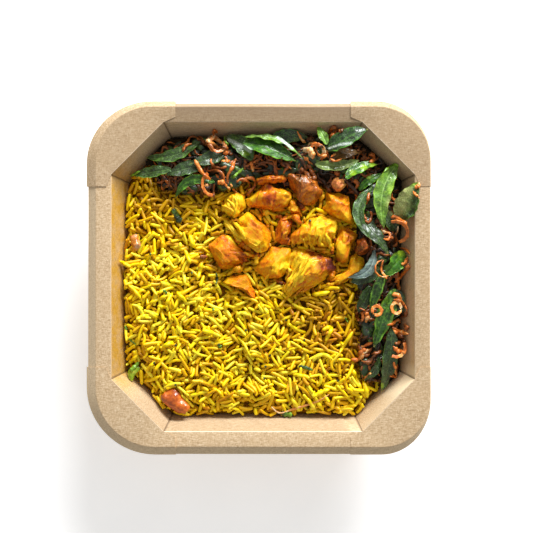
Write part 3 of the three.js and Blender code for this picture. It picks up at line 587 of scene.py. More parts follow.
def leaf_material(look):
    face, vein, edge, roughness, coat, bloom_and_sheen = LEAF_LOOKS[look]
    m = Material(f"leaf_{look}", roughness, 0.4, coat=(coat, 0.1), subsurface=0.05, radius=(0.4, 0.8, 0.2))
    patch = m.noise(4.0, 4, 0.65)
    fine = m.noise(0.55, 4, 0.7)
    crinkle = m.noise(1.6, 4, 0.65)
    base = m.ramp(patch, (0.36, [int(c * 0.55) for c in face]), (0.6, face))
    base = m.toward(base, edge, m.noise(2.2, 5, 0.7), 0.5, 0.68, 0.5)
    base = m.toward(base, vein, m.value("ribs"), 0.35, 1.0, 0.6)
    # Pale speckle over the face: partly bloom, partly painted sheen.
    sheen = m.math("MULTIPLY", m.map(fine, 0.5, 0.72), m.map(m.noise(3.4, 3, 0.6), 0.42, 0.66, 0.15, 1.0))
    base = m.mix(m.math("MULTIPLY", sheen, bloom_and_sheen), base, linear(174, 200, 158))
    rim = m.map(m.math("ABSOLUTE", m.value("across")), 0.62 if look == "rimmed" else 0.84, 1.0, 0.0, 0.9)
    base = m.mix(m.math("MULTIPLY", rim, m.map(patch, 0.4, 0.6, 0.2, 1.0)), base, linear(*edge))
    fresh = m.math("MULTIPLY", m.value("fresh"), m.map(crinkle, 0.3, 0.6, 0.5, 1.0))
    base = m.mix(fresh, base, m.ramp(fine, (0.35, (112, 158, 20)), (0.65, (170, 206, 56))))
    olive = m.math("MULTIPLY", m.value("olive"), m.map(crinkle, 0.25, 0.55, 0.55, 1.0))
    base = m.mix(olive, base, m.ramp(fine, (0.35, (126, 140, 50)), (0.65, (208, 214, 140))))
    # Painted highlight: white streaks along the listed lines.
    painted_highlight = m.math("MULTIPLY", m.value("painted_highlight"), m.map(fine, 0.36, 0.56, 0.15, 1.0))
    base = m.mix(painted_highlight, base, linear(214, 228, 216))
    base = m.toward(base, (170, 160, 70), m.value("along"), 0.95, 1.0, 0.7)
    m.put("Base Color", base)
    m.put("Roughness", m.map(fine, 0.3, 0.7, roughness - 0.08, roughness + 0.12))
    m.bump(fine, 0.14, 0.6, after=m.bump(crinkle, 0.5, 0.7))
    return m.material


def shallot_material():
    m = Material("fried_shallot", 0.4, 0.4, coat=(0.3, 0.15), subsurface=0.08, radius=(1.0, 0.4, 0.1))
    mottle = m.noise(1.5, 4, 0.65)
    base = m.ramp(
        m.swayed(m.value("tint"), mottle, 0.9),
        (0.05, (36, 24, 12)),
        (0.3, (104, 60, 26)),
        (0.52, (176, 96, 36)),
        (0.74, (236, 128, 42)),
        (0.9, (240, 172, 92)),
        (1.0, (244, 216, 168)),
    )
    m.put("Base Color", base)
    m.put("Roughness", m.map(mottle, 0.3, 0.7, 0.28, 0.55))
    m.bump(m.noise(0.6, 3, 0.6), 0.12, 0.6)
    return m.material


def scrap_material():
    """Bits of dark leaf."""
    m = Material("leaf_scrap", 0.4, coat=(0.3, 0.15))
    tone = m.math("ADD", m.noise(3.0, 4, 0.65), m.math("MULTIPLY", m.value("tint"), 0.4))
    m.put("Base Color", m.ramp(tone, (0.3, (16, 24, 14)), (0.55, (44, 66, 30)), (0.8, (124, 172, 40))))
    m.bump(m.noise(1.0, 3, 0.6), 0.3, 0.6)
    return m.material


def floor_material():
    m = Material("pale_floor", 0.9)
    m.put("Base Color", m.ramp(m.noise(40.0, 3, 0.5), (0.4, (250, 250, 250)), (0.6, (253, 253, 253))))
    m.put("Emission Color", (1.0, 1.0, 1.0, 1.0))
    m.put("Emission Strength", 0.4)
    return m.material


# ---------------------------------------------------------------- tray


def at_height(flat, z):
    """Points in plan, all at one height."""
    return np.column_stack([flat, np.full(len(flat), float(z))])


def ring(corner_points, z):
    """A closed row round the tray: each corner's points, then points along the side to the next corner."""
    rows = []
    for k, points in enumerate(corner_points):
        following = corner_points[(k + 1) % 4][0]
        share = np.arange(1, SIDE_STEPS)[:, None] / SIDE_STEPS
        rows += [points, points[-1] + (following - points[-1]) * share]
    return at_height(np.concatenate(rows), z)


def octagon_corners(inset):
    half = (HALF[0] - inset, HALF[1] - inset)
    cut = CORNER_CUT - (2 - math.sqrt(2)) * inset
    share = np.arange(CORNER_STEPS + 1)[:, None] / CORNER_STEPS
    rows = []
    for x, y, _, _ in CORNERS:
        on_side = np.array([x * half[0], y * (half[1] - cut)])
        on_end = np.array([x * (half[0] - cut), y * half[1]])
        first, last = (on_side, on_end) if x * y > 0 else (on_end, on_side)
        rows.append(first + (last - first) * share)
    return rows


def rounded_corners(spread=None, inset=0.0):
    rows = []
    for x, y, start, radius in CORNERS:
        centre = (x * (HALF[0] + FLANGE_WIDTH - radius), y * (HALF[1] + FLANGE_WIDTH - radius))
        radius_x = radius - inset + (spread["right" if x > 0 else "left"] if spread else 0)
        radius_y = radius - inset + (spread["back" if y > 0 else "front"] if spread else 0)
        angle = np.radians(start + 90 * np.arange(CORNER_STEPS + 1) / CORNER_STEPS)
        rows.append(np.add(centre, np.column_stack([radius_x * np.cos(angle), radius_y * np.sin(angle)])))
    return rows


def softened(rows, radius, at):
    """Rows of points with the folds at the rows numbered in `at` rounded."""
    made = []
    for k, row in enumerate(rows):
        if k not in at:
            made.append(row)
            continue
        before, after = rows[k - 1], rows[(k + 1) % len(rows)]
        reach = lambda other: row + (other - row) * np.minimum(
            0.45, radius / np.maximum(np.linalg.norm(other - row, axis=1, keepdims=True), 1e-6)
        )
        a, b = reach(before), reach(after)
        for t in (0, 0.33, 0.67, 1):
            made.append(a * (1 - t) ** 2 + row * 2 * t * (1 - t) + b * t * t)
    return made


def unevened(points, depth, size, seed):
    """Board that isn't quite flat: small moves, which never reach out of the tray's own outline."""
    moved = points.copy()
    high = smooth(points[:, 2], 30, 38)
    moved[:, 2] += depth * noise(points[:, :2], size, seed) * high
    shrink = 0.5 * depth * (1 + noise(points[:, :2], size * 0.7, seed + 1)) * high
    outward = unit(points[:, :2]) * (inside_by(points[:, 0], points[:, 1]) < -4)[:, None]
    moved[:, :2] -= outward * shrink[:, None]
    return moved


def build_tray(material):
    rows = [
        ring(octagon_corners(wall_inset(BOARD)), BOARD),
        ring(octagon_corners(wall_inset(20)), 20),
        ring(octagon_corners(0), OPENING_HEIGHT),
        ring(rounded_corners(), RIM_HEIGHT),
        ring(rounded_corners(LIP_SPREAD), RIM_HEIGHT - LIP_DROP),
        ring(rounded_corners(LIP_SPREAD, BOARD), RIM_HEIGHT - LIP_DROP),
        ring(rounded_corners(None, BOARD), RIM_HEIGHT - BOARD),
        ring(octagon_corners(-BOARD), OPENING_HEIGHT - BOARD),
        ring(octagon_corners(wall_inset(20) - BOARD), 20),
        ring(octagon_corners(wall_inset(0) - BOARD), 0),
    ]
    rows = softened(rows, 0.45, {2, 3, 6, 7})
    count = len(rows[0])
    points = unevened(np.concatenate(rows), 0.25, 38, 3)
    top = np.arange(count)[None]
    bottom = ((len(rows) - 1) * count + np.arange(count)[::-1])[None]
    faces = [grid_quads(len(rows), count, columns_close=True), top, bottom]

    x, y, z = points.T
    row, place = np.divmod(np.arange(len(points)), count)
    inside = row < 4
    # The rounded opening edge gets a painted highlight, brightest at the near side.
    highlit_edge, lip = np.isin(row, (3, 4)), np.isin(row, (9, 10))
    low = smooth(OPENING_HEIGHT + 2 - z, -2, 3)
    # Where the walls are stained beside the rice; this also paints yellow bounce light from the rice.
    stain_and_bounce = smooth(-x, 62, 72) + 0.3 * smooth(x, 62, 72)
    # Painted shade and light: the near walls and the far flange darker; the near right corner, the right and
    # far walls and the lips lighter.
    lit_corner = smooth(x - y, SLANT - 9, SLANT - 4)
    shaded_inside = 0.34 * smooth(-y, 60, 66) - 0.6 * lit_corner - 0.12 * smooth(np.maximum(x, y), 62, 72)
    shaded_outside = smooth(y, HALF[1] - 2, HALF[1] + 3) - 0.3 * lip
    values = {
        "edge_highlight": highlit_edge * (0.9 + 0.1 * smooth(-y, HALF[1] - 4, HALF[1] - 1)),
        # painted shade along the folds between the walls
        "crease": inside * np.isin(place % (CORNER_STEPS + SIDE_STEPS), (0, CORNER_STEPS)),
        "stain": inside * low * stain_and_bounce * smooth(HALF[1] - np.abs(y), 14, 34),
        "shade": np.where(inside, shaded_inside, shaded_outside),
    }
    mesh = new_mesh("tray_board", points, faces)
    show("tray_board", mesh, values, material, ["tray"], FOLD_ANGLE)
    for k in range(4):
        build_flap(k, material)


def build_flap(k, material):
    """One corner's second layer of board."""
    start = math.radians(CORNERS[k][2])
    ahead = [np.array([math.sin(start), -math.cos(start)]), np.array([-math.cos(start), -math.sin(start)])]
    opening = octagon_corners(0)[k]
    ends = [opening[0], opening[-1]]

    def run_on(flat, z):
        tips = zip((flat[0], flat[-1]), ahead, ends)
        head, tail = (p + a * (FLAP_REACH - (p - end) @ a) for p, a, end in tips)
        return at_height(np.concatenate([[head], flat, [tail]]), z)

    def inner(z):
        return at_height(np.concatenate([[ends[0]], opening, [ends[1]]]), z)

    crease = rounded_corners()[k]
    bend = opening + (crease - opening) * FLAP_BEND
    bend_z = OPENING_HEIGHT + (RIM_HEIGHT - OPENING_HEIGHT) * FLAP_BEND
    half = BOARD / 2
    rows = [
        inner(OPENING_HEIGHT + FLAP_STEP),
        run_on(bend, bend_z + FLAP_STEP),
        run_on(crease, RIM_HEIGHT + FLAP_STEP),
        run_on(rounded_corners(FLAP_SPREAD)[k], RIM_HEIGHT - LIP_DROP),
        run_on(rounded_corners(LIP_SPREAD, half)[k], RIM_HEIGHT - LIP_DROP),
        run_on(rounded_corners(None, half)[k], RIM_HEIGHT - half),
        run_on(bend, bend_z - half),
        inner(OPENING_HEIGHT - half),
    ]
    rows = softened(rows, 0.4, {2, 5})
    length, count = len(rows[0]), len(rows)
    points = unevened(np.concatenate(rows), 0.2, 30, 11 + k)
    quads = grid_quads(count, length, rows_close=True)[:, [1, 2, 3, 0]]
    first = (np.arange(count) * length)[None]
    last = (np.arange(count)[::-1] * length + length - 1)[None]
    row = np.arange(len(points)) // length
    # Painted shade on the far flaps, painted light on each flap's lip.
    values = {
        "crease": np.zeros(len(points)),
        "stain": np.zeros(len(points)),
        "shade": FLAP_SHADE[k] - 0.3 * np.isin(row, (5, 6)),
        # painted highlight along the flap's inner edge
        "edge_highlight": np.where(row == 0, 0.88, 0.0),
    }
    name = f"tray_flap_{k + 1}"
    mesh = new_mesh(name, points, [quads, first[:, ::-1], last[:, ::-1]])
    show(name, mesh, values, material, ["tray"], FOLD_ANGLE)


# ---------------------------------------------------------------- rice


def build_rice_core(height, floor=1.2, inset=0.5):
    """The heap's lower core: a closed solid inside the walls, below a surface."""
    rings, spokes = 46, 180
    angle = 2 * np.pi * np.arange(spokes) / spokes
    out = np.column_stack([np.cos(angle), np.sin(angle)])

    def edge(z):
        gap = wall_inset(z) + inset
        along_x, along_y = np.maximum(np.abs(out.T), 1e-9)
        reach = np.minimum((HALF[0] - gap) / along_x, (HALF[1] - gap) / along_y)
        return np.minimum(reach, (SLANT - gap * math.sqrt(2)) / np.abs(out).sum(1))

    share = (np.arange(1, rings + 1) / rings)[:, None, None]
    flat = (out * edge(RICE_LEVEL - 8)[:, None])[None] * share
    top = np.concatenate([flat.reshape(-1, 2), [[0, 0]]])
    low = at_height(out * edge(floor)[:, None], floor)
    points = np.concatenate([np.column_stack([top, height(top[:, 0], top[:, 1])]), low])
    i = np.arange(spokes)
    j = (i + 1) % spokes
    rim_row, low_row = (rings - 1) * spokes, rings * spokes + 1
    skirt = np.stack([rim_row + i, low_row + i, low_row + j, rim_row + j], -1)
    middle = np.stack([np.full(spokes, rings * spokes), i, j], -1)
    faces = [grid_quads(rings, spokes, columns_close=True), skirt, middle, (low_row + i[::-1])[None]]
    # The core is darker than the grains: painted shade for the gaps between them.
    stops = [(0.3, (104, 64, 0)), (0.7, (190, 132, 0))]
    relief = ((1.6, 3, 0.6), 0.8, 0.8)
    below = mottled_material("rice_core_shade", 0.6, (2.2, 3, 0.6), stops, relief, specular=0.2)
    show("rice_core", new_mesh("rice_core", points, faces), {}, below, ["rice"])


def lie(heap, x, y, turn, offsets, sideways, radius, tilt=0.0, limit=0.5):
    """How a bent stick rests on the heap: the points of its middle line."""
    c, s = math.cos(turn), math.sin(turn)
    px = x + c * offsets - s * sideways
    py = y + s * offsets + c * sideways
    ground = heap.at(px, py)
    slope = np.clip(np.polyfit(offsets, ground, 1)[0], -limit, limit) + tilt
    base = np.max(ground - slope * offsets) + radius
    return px, py, base + slope * offsets


def drop_grain(draw, heap, cover, top):
    """The lowest of a few draws for a grain: how far it stands out, its line, radius and direction."""
    best = None
    for _ in range(GRAIN_DRAWS):
        x, y = draw.uniform(-HALF[0], HALF[0]), draw.uniform(-HALF[1], HALF[1])
        if inside_by(x, y) < wall_inset(24) + 1.2 or cover.at(x, y) > 0.97:
            continue
        length = draw.uniform(*GRAIN_LENGTH) * (0.62 if draw.random() < 0.2 else 1)
        radius, turn = draw.uniform(*GRAIN_RADIUS), draw.uniform(0, 2 * math.pi)
        bend = draw.normal(0, 0.5) * length / 9
        tilt = draw.uniform(0.4, 1.4) if draw.random() < 0.18 else 0.0
        offsets = GRAIN_STATIONS * (length / 2 - radius * 0.3) / math.hypot(1, tilt)
        px, py, z = lie(heap, x, y, turn, offsets, bend * (GRAIN_STATIONS**2 - 0.4), radius * 0.8, tilt)
        if np.any(inside_by(px, py) < wall_inset(z) + radius * 0.9):
            continue
        if np.any(z + radius > top.at(px, py) - 0.2):
            continue
        over = np.mean(z) + radius - rice_height(x, y) - clump_height(x, y) + 1.2 * tilt
        if best is None or over < best[0]:
            best = (over, (px, py, z), radius, turn)
    return best


def build_rice(material, cover, top, near):
    """Drops grains on the core, each where it lies lowest of a few draws, and stains them beside the meat."""
    core = lambda x, y: rice_height(x, y) - RICE_DEPTH + clump_height(x, y)
    build_rice_core(core)
    heap = Heights(core)
    draw = np.random.default_rng(SEEDS["rice"])
    fine = np.linspace(-1, 1, 29)
    placed = []
    for _ in range(GRAINS):
        best = drop_grain(draw, heap, cover, top)
        if best is None or best[0] > 2.0:
            continue
        _, line, radius, turn = best
        placed.append((np.column_stack(line), radius, draw.random(), draw.random()))
        x, y, z = (np.interp(fine, GRAIN_STATIONS, v) for v in line)
        for side in (-0.75, -0.4, 0, 0.4, 0.75):
            rise = radius * 0.8 * math.sqrt(1 - side * side)
            aside = (x - math.sin(turn) * side * radius, y + math.cos(turn) * side * radius)
            heap.raise_to(np.column_stack([*aside, z + rise]))
    middle = np.array([grain[0] for grain in placed])
    radius = np.array([grain[1] for grain in placed])[:, None]
    chance = np.array([grain[2:] for grain in placed])
    across, upward = lying_frame(middle)
    width = radius * GRAIN_PROFILE * (1 + 0.05 * np.sin(9 * GRAIN_STATIONS + 6 * chance[:, :1]))
    x, y, _ = middle[:, len(GRAIN_STATIONS) // 2].T
    centres = np.column_stack([x, y])
    stain = smooth(noise(centres, 8, 31) + 0.4 * noise(centres, 3, 32), 0.3, 1.0)
    stain = np.maximum(stain, 0.9 * smooth(near.at(x, y), 0.25, 0.6))
    stain = np.max([stain] + [in_place(x, y, *place) for place in RICE_STAINS], axis=0)
    # Painted shadow: grains in the listed places are darker.
    shade = np.max([in_place(x, y, *place, 0.8) for place in RICE_SHADOWS], axis=0)
    tint = np.clip(chance[:, 0] ** 0.8 + 0.1 - 0.64 * shade, 0, 1)
    group = np.arange(len(placed)) * 4 // len(placed)
    for g in range(4):
        mine = np.where(group == g)[0]
        wide = width[mine]
        points, faces, per = tubes(middle[mine], across[mine], upward[mine], wide, wide * 0.86, GRAIN_SIDES)
        values = {
            "tint": np.repeat(tint[mine], per) + 0.14 * noise(points, 2.4, 33),
            "stain": np.repeat(stain[mine] * (chance[mine, 1] < 0.6), per),
        }
        name = f"rice_grains_{g + 1}"
        show(name, new_mesh(name, points, faces), values, material, ["rice"])
    return heap


# ---------------------------------------------------------------- strands

STRAND_STEPS = 14
STRAND_SIDES = 6
STRAND_DRAWS = 6
# What is scattered: how many, how long, how wide, and how much they curl.
LEAF_SCRAPS = (70, (9, 20), (3.5, 7.5), 0.05)
SHALLOT_SHREDS = (330, (7, 20), (1.1, 2.3), 0.12)
CHICKEN_SHREDS = (190, (3.5, 9), (1.6, 4.2), 0.08)


def fibre_space(points, degrees):
    """Places measured along, across and up through a piece's fibres."""
    c, s = math.cos(math.radians(degrees)), math.sin(math.radians(degrees))
    x, y, z = points.T
    return np.column_stack([x * c + y * s, y * c - x * s, z])


def along_spline(values, share):
    """Values at even stations, read smoothly at each share of the way."""
    values = np.asarray(values, float)
    padded = np.concatenate([[2 * values[0] - values[1]], values, [2 * values[-1] - values[-2]]])
    at = np.clip(share, 0, 1) * (len(values) - 1)
    i = np.minimum(at.astype(int), len(values) - 2)
    t = (at - i).reshape(-1, *([1] * (values.ndim - 1)))
    a, b, c, d = (padded[i + k] for k in range(4))
    return 0.5 * (2 * b + (c - a) * t + (2 * a - 5 * b + 4 * c - d) * t**2 + (3 * b - a - 3 * c + d) * t**3)


def settled(x, y, heap, rise):
    """Heights along a strand: it bridges the dips below it and bends gently over what sticks up."""
    ground = heap.at(x, y)

    def beside():
        around = np.concatenate([ground[:1], ground, ground[-1:]])
        return around[:-2] + around[2:]

    for _ in range(3):
        ground = np.maximum(ground, beside() / 2)
    return 0.5 * ground + 0.25 * beside() + rise


def raise_strand(heap, line, width):
    """Adds a strand to the heap below the next ones."""
    fine = np.linspace(0, STRAND_STEPS - 1, 4 * STRAND_STEPS)
    x, y, z = (np.interp(fine, np.arange(STRAND_STEPS), line[:, k]) for k in range(3))
    heading = np.arctan2(np.gradient(y), np.gradient(x))
    for side in (-0.4, -0.2, 0, 0.2, 0.4):
        aside = (x - np.sin(heading) * side * width, y + np.cos(heading) * side * width)
        heap.raise_to(np.column_stack([*aside, z]))


def scattered(kind, draw, heap, ceiling, allowed, surface):
    """Strands dropped on the heap one by one, each where it lies lowest of a few draws."""
    count, length, width, curl = kind
    lines, widths = [], []
    step = np.linspace(-0.5, 0.5, STRAND_STEPS)
    cells = np.argwhere(allowed.z > 0.5) * Heights.CELL - Heights.REACH
    for _ in range(count):
        best = None
        for _ in range(STRAND_DRAWS):
            x, y = cells[draw.integers(len(cells))]
            reach, wide = draw.uniform(*length), draw.uniform(*width)
            along = step * reach
            angle = draw.uniform(0, 2 * math.pi) + draw.normal(0, curl) * along
            angle = angle + draw.normal(0, 0.5) * np.sin(along * 0.7 + draw.uniform(0, 6))
            px = x + np.cumsum(np.cos(angle)) * reach / STRAND_STEPS
            py = y + np.cumsum(np.sin(angle)) * reach / STRAND_STEPS
            px, py = px - px.mean() + x, py - py.mean() + y
            if np.any(allowed.at(px, py) < 0.5):
                continue
            z = settled(px, py, heap, 0.3 * wide)
            if np.any(z + 0.3 * wide > ceiling.at(px, py)):
                continue
            if np.any(z - 0.3 * wide < tray_height(px, py, 0.7 * wide)):
                continue
            over = np.mean(z - surface.at(px, py))
            if best is None or over < best[0]:
                best = (over, np.column_stack([px, py, z]), wide)
        if best is None:
            continue
        lines.append(best[1])
        widths.append(best[2])
        raise_strand(heap, best[1], best[2])
    return lines, widths


def laid(table, heap, rise):
    """Strands through given points in plan, each on all that is below it."""
    lines, widths = [], []
    for _, width, *points in table:
        x, y = along_spline(np.array(points), np.linspace(0, 1, STRAND_STEPS)).T
        z = np.maximum(settled(x, y, heap, rise * width), tray_height(x, y, 0.6 * width) + 0.3 * width)
        z = np.minimum(z, HIGHEST - width / 2)
        line = np.column_stack([x, y, z])
        raise_strand(heap, line, width)
        lines.append(line)
        widths.append(width)
    return lines, widths


def show_strands(name, strands, tones, material, slot, node, seed, flat=0.36, turning=1.0, waves=0.22):
    """Ribbons along given lines: how flat they are, how much they twist, and how uneven their width is."""
    middle, widths = np.array(strands[0]), np.array(strands[1])[:, None]
    count = len(middle)
    draw = np.random.default_rng(seed)
    across, upward = lying_frame(middle)
    step = np.linspace(0, 1, STRAND_STEPS)
    twist = draw.normal(0, 0.35, (count, 1))
    twist = twist + draw.normal(0, 0.7, (count, 1)) * np.sin(5 * step + draw.uniform(0, 6, (count, 1)))
    c, s = np.cos(twist * turning)[..., None], np.sin(twist * turning)[..., None]
    across, upward = across * c + upward * s, upward * c - across * s
    ends = np.minimum(1, 0.4 + 3.2 * np.minimum(step, 1 - step))
    wavy = 1 + waves * np.sin(draw.uniform(9, 22, (count, 1)) * step + draw.uniform(0, 6, (count, 1)))
    half = widths / 2 * ends * wavy
    thick = np.maximum(half * 2 * flat, 0.22)
    points, faces, _ = tubes(middle, across, upward, half, thick, STRAND_SIDES, 0.7)
    fade = np.asarray(tones)[:, None] + draw.normal(0, 0.1, (count, 1)) * np.cos(4 * step)
    fade = np.concatenate([np.repeat(fade, STRAND_SIDES, axis=1), fade[:, :1], fade[:, -1:]], axis=1)
    values = {"tint": fade.ravel()}
    if slot.startswith("chicken"):
        plain = np.zeros(len(points))
        values = {
            "warm": fade.ravel(),
            "relief": plain,
            "sear": plain,
            "torn": plain + 0.5,
            "fibre": fibre_space(points, FIBRE_RUN) / 1000,
        }
    show(name, new_mesh(name, points, faces), values, material, [node])


# ---------------------------------------------------------------- chicken

# What the pieces look like from above, in outline.
OUTLINES = {
    1: ((-3.5, 51.8), (0.7, 53.3), (12.1, 53.9), (12.6, 50.6), (3.1, 49), (-3, 48.6)),
    2: ((49.3, 19.4), (53.5, 21.8), (57.1, 17), (56.5, 12.8), (52.3, 11), (48.9, 12.8)),
    17: (
        (36.1, 49.4), (37, 51.4), (40, 52.6), (43, 51.6), (43.6, 48.8), (42.7, 46.5), (40.9, 45.1),
        (38.9, 45), (37.5, 47),
    ),
    3: (
        (-22.4, 37.4), (-19.7, 43.2), (-14.4, 45.8), (-9.7, 43.2), (-9, 37.4), (-11.7, 34.4), (-14.7, 31.1),
        (-22.1, 34.7),
    ),
    4: ((14.2, 41.9), (17.2, 41.1), (19.4, 37.4), (21, 31.9), (15.5, 32.4), (12.1, 36.1)),
    5: (
        (41.1, 27.3), (45.9, 25.6), (50.7, 22.1), (48, 18.2), (46.3, 12.5), (45, 7.7), (41.9, 6.9),
        (38.5, 9), (38.1, 15.6), (39.8, 24.3),
    ),
    6: (
        (8.1, 30.1), (12.8, 32.8), (15.8, 29.4), (14.5, 24.7), (14.5, 17), (9.8, 16.7), (6.5, 19.7),
        (6.1, 24.1),
    ),
    7: (
        (12.4, 54.3), (18.5, 55.1), (24.1, 54.4), (27.6, 53.4), (31.5, 46), (31.9, 43.4), (28, 39),
        (23.3, 37.5), (19.4, 39.5), (14.7, 46.5),
    ),
    8: (
        (-29.4, 16.7), (-21.9, 22.7), (-17.3, 21.9), (-12.8, 15.9), (-5.3, 11.4), (-9.8, 6.9), (-18.9, 3.9),
        (-22.7, 3.9), (-26.4, 9.9),
    ),
    9: ((-5.3, 3.9), (4.5, 15.9), (15.1, 15.2), (14.3, 3.9), (9, -0.7), (1.5, -1.4)),
    10: (
        (33.2, 45.1), (39.3, 44.7), (45.5, 42.5), (46.7, 34.2), (48.5, 30.3), (47.2, 27.5), (42.8, 29),
        (37.2, 31.7), (31.1, 36), (33.7, 41.2),
    ),
    11: (
        (46.5, 10.8), (49.1, 12.5), (53.5, 9.9), (54.3, 6.9), (53, 2.5), (46.9, -0.7), (43.8, -3.3),
        (38.6, -5.8), (34.7, -1.2), (39.5, 0.8), (44.7, 4.6),
    ),
    12: (
        (13.2, 12.1), (16.6, 15.5), (23.6, 15.1), (29.6, 12.5), (36.6, 10.3), (40, 4.7), (36.6, 1.7),
        (33.1, -1.8), (27.5, -5.7), (21, -9.2), (14.9, -10.5), (10.4, -8.4), (12.3, 0.4),
    ),
    13: (
        (-9.6, 41), (-4.9, 45), (0.4, 49), (3.8, 49.4), (7.1, 47.7), (11.4, 46.7), (15.1, 44.6), (15.1, 41),
        (12.8, 37.3), (10.1, 34.3), (4.8, 34.6), (-3.6, 36.3), (-8.6, 37.3),
    ),
    14: (
        (-10.3, 33.3), (-8.3, 35), (-5.3, 33.6), (-1.9, 29.6), (2.4, 26.3), (4.4, 23), (4.4, 18.9),
        (2.4, 14), (-3.1, 11.9), (-8.3, 16.1), (-14, 23), (-15, 28),
    ),
    15: (
        (14.1, 21.3), (19.7, 27.6), (24.9, 30.7), (30.6, 32.2), (36.6, 31.1), (39.2, 29.7), (39.7, 25),
        (37, 19.9), (36.1, 15.5), (26.2, 16), (21, 17.2), (15.8, 16.6),
    ),
    16: (
        (-22.4, -3.3), (-19, -0.3), (-9.5, 1.2), (-7.6, -1.1), (-4.6, -7.1), (-3.8, -12.4), (-6.8, -10.9),
        (-9.9, -7.9), (-17.5, -4.9),
    ),
}
# How brown each piece is, from yellow at 0 to dark brown at 1.
WARMTH = {
    1: 0.6, 2: 0.88, 3: 0.34, 4: 0.48, 5: 0.42, 6: 0.56, 7: 0.76, 8: 0.52, 9: 0.44,
    10: 0.41, 11: 0.42, 12: 0.34, 13: 0.48, 14: 0.46, 15: 0.27, 16: 0.49, 17: 0.62,
}
# Places that are yellower (less than 0) or browner than the rest of their piece, and how far each reaches.
CASTS = [
    ((-8, 42), 6, -0.2), ((13, 42), 5, -0.2), ((4, 40), 8, 0.16), ((-19, 36), 7, -0.16),
    ((-9, 33), 6, -0.25),
    ((-13, 24), 9, -0.42), ((-3, 14), 7, -0.3), ((-15, 21), 5, -0.3), ((-9, 9), 6, 0.22),
    ((-21, -2), 6, -0.25),
    ((-6, -8), 6, 0.15), ((15, 6), 12, -0.36), ((13, -7), 7, -0.1), ((22, -6), 8, 0.12), ((16, 21), 6, 0.2),
    ((37, 30), 5, -0.12), ((40, 15), 6, -0.26), ((47, 22), 5, 0.2), ((50, 8), 6, -0.16),
    ((38, -3), 6, 0.14),
    ((40, 38), 6, 0.12), ((40, 44), 3, -0.12), ((45, 30), 5, -0.1), ((25, 41), 6, -0.22),
    ((20, 50), 7, 0.18),
]
# Seared spots: where, how far they reach, and how dark they are.
SEAR = [
    ((3.4, 47.6), 3.4, 1), ((3.5, 40.5), 6, 0.7), ((36.5, 6.5), 7.5, 1.6), ((31, 6), 5.5, 0.9),
    ((30.5, 11.5), 5.5, 1),
    ((26, 12), 4, 0.8),
]
# Torn places of each piece, where long fibres show: where and how far they reach.
TORN = {
    3: [((-16, 37), 9)], 6: [((13, 22), 4)], 8: [((-9, 12), 5)], 9: [((6.5, 4.5), 4)], 11: [((41, -3), 6)],
    12: [((15, 3), 13), ((12, -6), 8)], 14: [((-15, 25), 8), ((-3, 13), 7)], 15: [((27, 21), 10)],
    17: [((40, 49), 6)],
}
# Pieces with smoother faces than the rest, and how much of their relief they keep.
SMOOTHER = {8: 0.6, 9: 0.35, 10: 0.6, 14: 0.6, 16: 0.6}
# Which way each piece's fibres run, in degrees from +X.
FIBRES = {3: 105, 7: 80, 8: 130, 12: 58, 13: 75, 14: 140, 15: 80, 5: 85, 11: 40, 16: 160}
FIBRE_RUN = 60  # for the other pieces and the strands
CUTS = 6  # flat faces round each piece


def reach_of(outline, centre, angles):
    """How far an outline is from a point inside it, at each angle."""
    corner = np.array(outline) - centre
    edge = np.roll(corner, -1, axis=0) - corner
    ray = np.column_stack([np.cos(angles), np.sin(angles)])[:, None]
    crossing = lambda u, v: u[..., 0] * v[..., 1] - u[..., 1] * v[..., 0]
    turn = crossing(ray, edge[None])
    turn = np.where(np.abs(turn) < 1e-9, 1e-9, turn)
    far, share = crossing(corner, edge)[None] / turn, crossing(corner[None], ray) / turn
    return np.max(np.where((far > 0) & (share >= 0) & (share <= 1), far, 0), axis=1)


def sectors(away, count):
    """Which way each point is from the middle, how far, and in which of the even sectors round it."""
    turn = np.arctan2(away[:, 1], away[:, 0])
    return turn, np.hypot(*away.T), np.round(turn / (2 * np.pi) * count).astype(int) % count


def by_turn(turn, values):
    """Values at even angles, read at other angles."""
    angles = 2 * np.pi * np.arange(len(values) + 1) / len(values)
    return np.interp(turn % (2 * np.pi), angles, np.append(values, values[0]))


def drawn_to(points, outline):
    """A piece with its outline from above brought to the one that shows."""
    count = 72
    old, new = points[:, :2].mean(0), np.mean(outline, axis=0)
    away = points[:, :2] - old
    turn, far, sector = sectors(away, count)
    reach = np.zeros(count)
    np.maximum.at(reach, sector, far)
    soft = lambda v: (np.roll(v, 1) + 2 * v + np.roll(v, -1)) / 4
    wanted = reach_of(outline, new, 2 * np.pi * np.arange(count) / count)
    ratio = np.clip(soft(wanted / soft(reach)), 0.6, 1.6)
    moved = points.copy()
    moved[:, :2] = new + away * by_turn(turn, ratio)[:, None]
    return moved


def cut_flat(points, draw, count):
    """Flat faces, as a knife leaves them, round the sides and on top."""
    points = points.copy()
    middle = (points.min(0) + points.max(0)) / 2
    for k in range(count + 1):
        azimuth = 2 * math.pi * (k + draw.uniform(-0.3, 0.3)) / count
        rise = draw.uniform(0.15, 0.85) if k < count else draw.uniform(1.25, 1.5)
        flat = math.cos(rise)
        normal = np.array([math.cos(azimuth) * flat, math.sin(azimuth) * flat, math.sin(rise)])
        reach = (points - middle) @ normal
        face = draw.uniform(0.7, 0.84) * reach.max()
        over = np.maximum(0, reach + 0.7 * noise(points, 4.5, 50 + k) - face)
        points -= normal * 0.85 * over[:, None]
    return points


